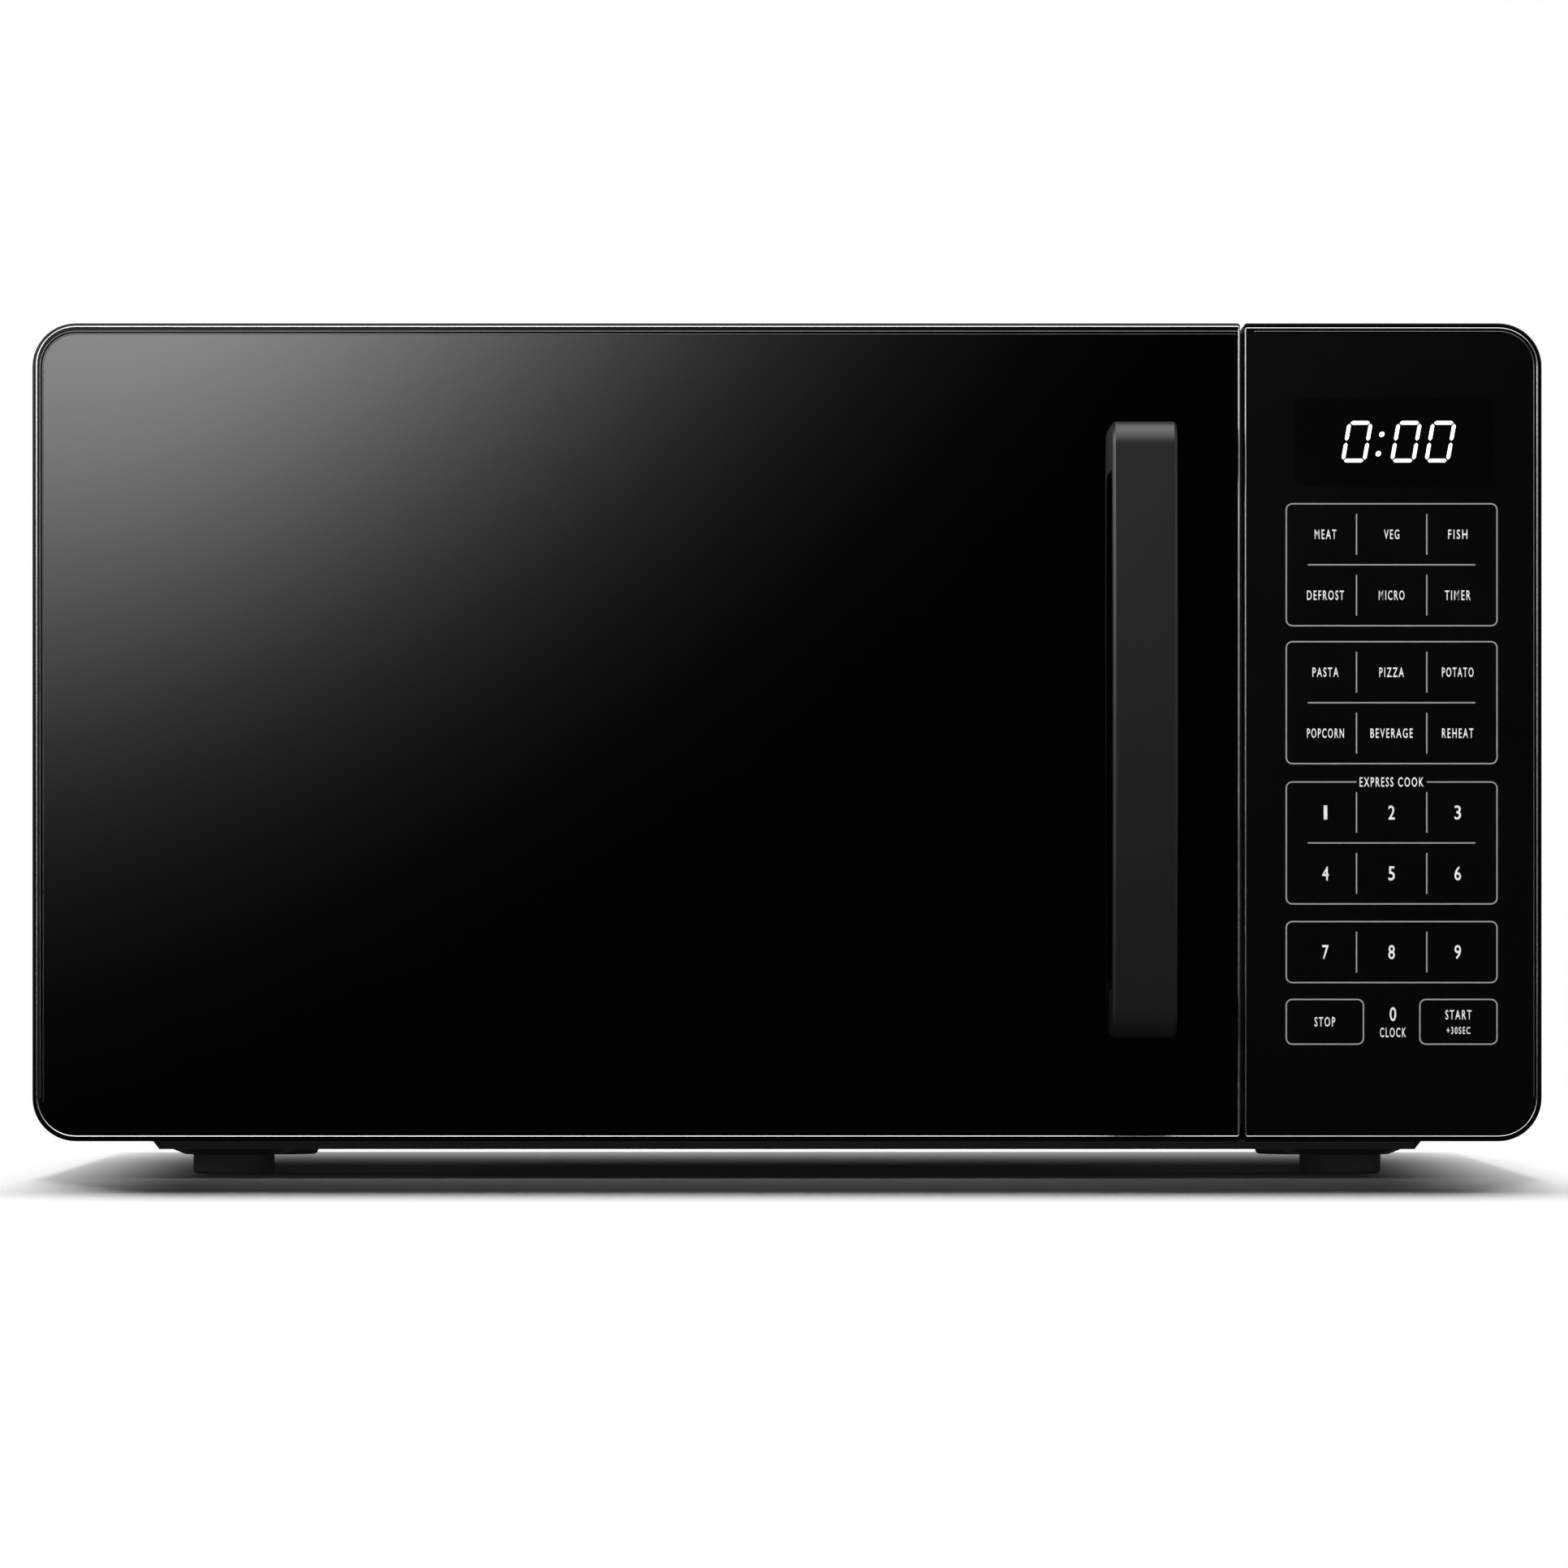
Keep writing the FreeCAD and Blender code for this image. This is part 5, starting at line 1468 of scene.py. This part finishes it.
    def world(self) -> None:
        """White to the eye, dim to matt surfaces, and bright above and behind to the gloss."""
        world = bpy.data.worlds.new("studio")
        bpy.context.scene.world = world
        graph = Graph(world)
        path = graph.node("ShaderNodeLightPath", {}, {})
        towards = graph.node("ShaderNodeTexCoord", {}, {}).outputs["Generated"]
        split = graph.node("ShaderNodeSeparateXYZ", {}, {"Vector": towards})
        back, up = Value(graph, split.outputs[1]), Value(graph, split.outputs[2])
        above = (up - 0.3).clamped() * 7.0 * (1 - back * 1.5).clamped()
        gloss = above + (back - 0.05).clamped() * (up + 0.6).clamped() * 0.3
        seen = Value(graph, path.outputs["Is Camera Ray"])
        mirrored = Value(graph, path.outputs["Is Glossy Ray"])
        through = Value(graph, path.outputs["Is Transmission Ray"])
        strength = seen + (1 - seen) * (mirrored * gloss + (1 - mirrored) * (through * 0.5 + 0.012))
        values = {"Color": (1.0, 1.0, 1.0, 1.0), "Strength": strength}
        background = graph.node("ShaderNodeBackground", {}, values)
        graph.node("ShaderNodeOutputWorld", {}, {"Surface": background.outputs[0]})

    def camera(self) -> None:
        """A level camera square to the front."""
        Bench.clear()
        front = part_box("door_glass")[0][1]
        place = (self.aside, front - self.distance, self.eye)
        bpy.ops.object.camera_add(location=place, rotation=(math.radians(90), 0.0, 0.0))
        camera = bpy.context.object
        camera.name = "front_camera"
        camera.data.sensor_width = self.sensor
        camera.data.lens = self.sensor * self.distance / self.view
        camera.data.shift_y = (self.middle - self.eye) / self.view
        camera.data.clip_start = 0.05
        bpy.context.scene.camera = camera

    def build(self) -> None:
        """Set up the whole studio."""
        self.floor()
        self.world()
        self.lamps()
        self.cards()
        self.camera()
        bpy.context.scene.view_settings.view_transform = "Standard"


def main() -> None:
    """Dress the model, add what CAD leaves to the looks, and set up the studio."""
    logging.basicConfig(level=logging.INFO, format="%(name)s: %(message)s")
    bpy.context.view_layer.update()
    dress_nodes()
    for line in TRIM_LINES:
        line.build()
    Screen().build()
    PanelPrint().build()
    Display().build()
    Studio().build()


if __name__ == "__main__":
    main()
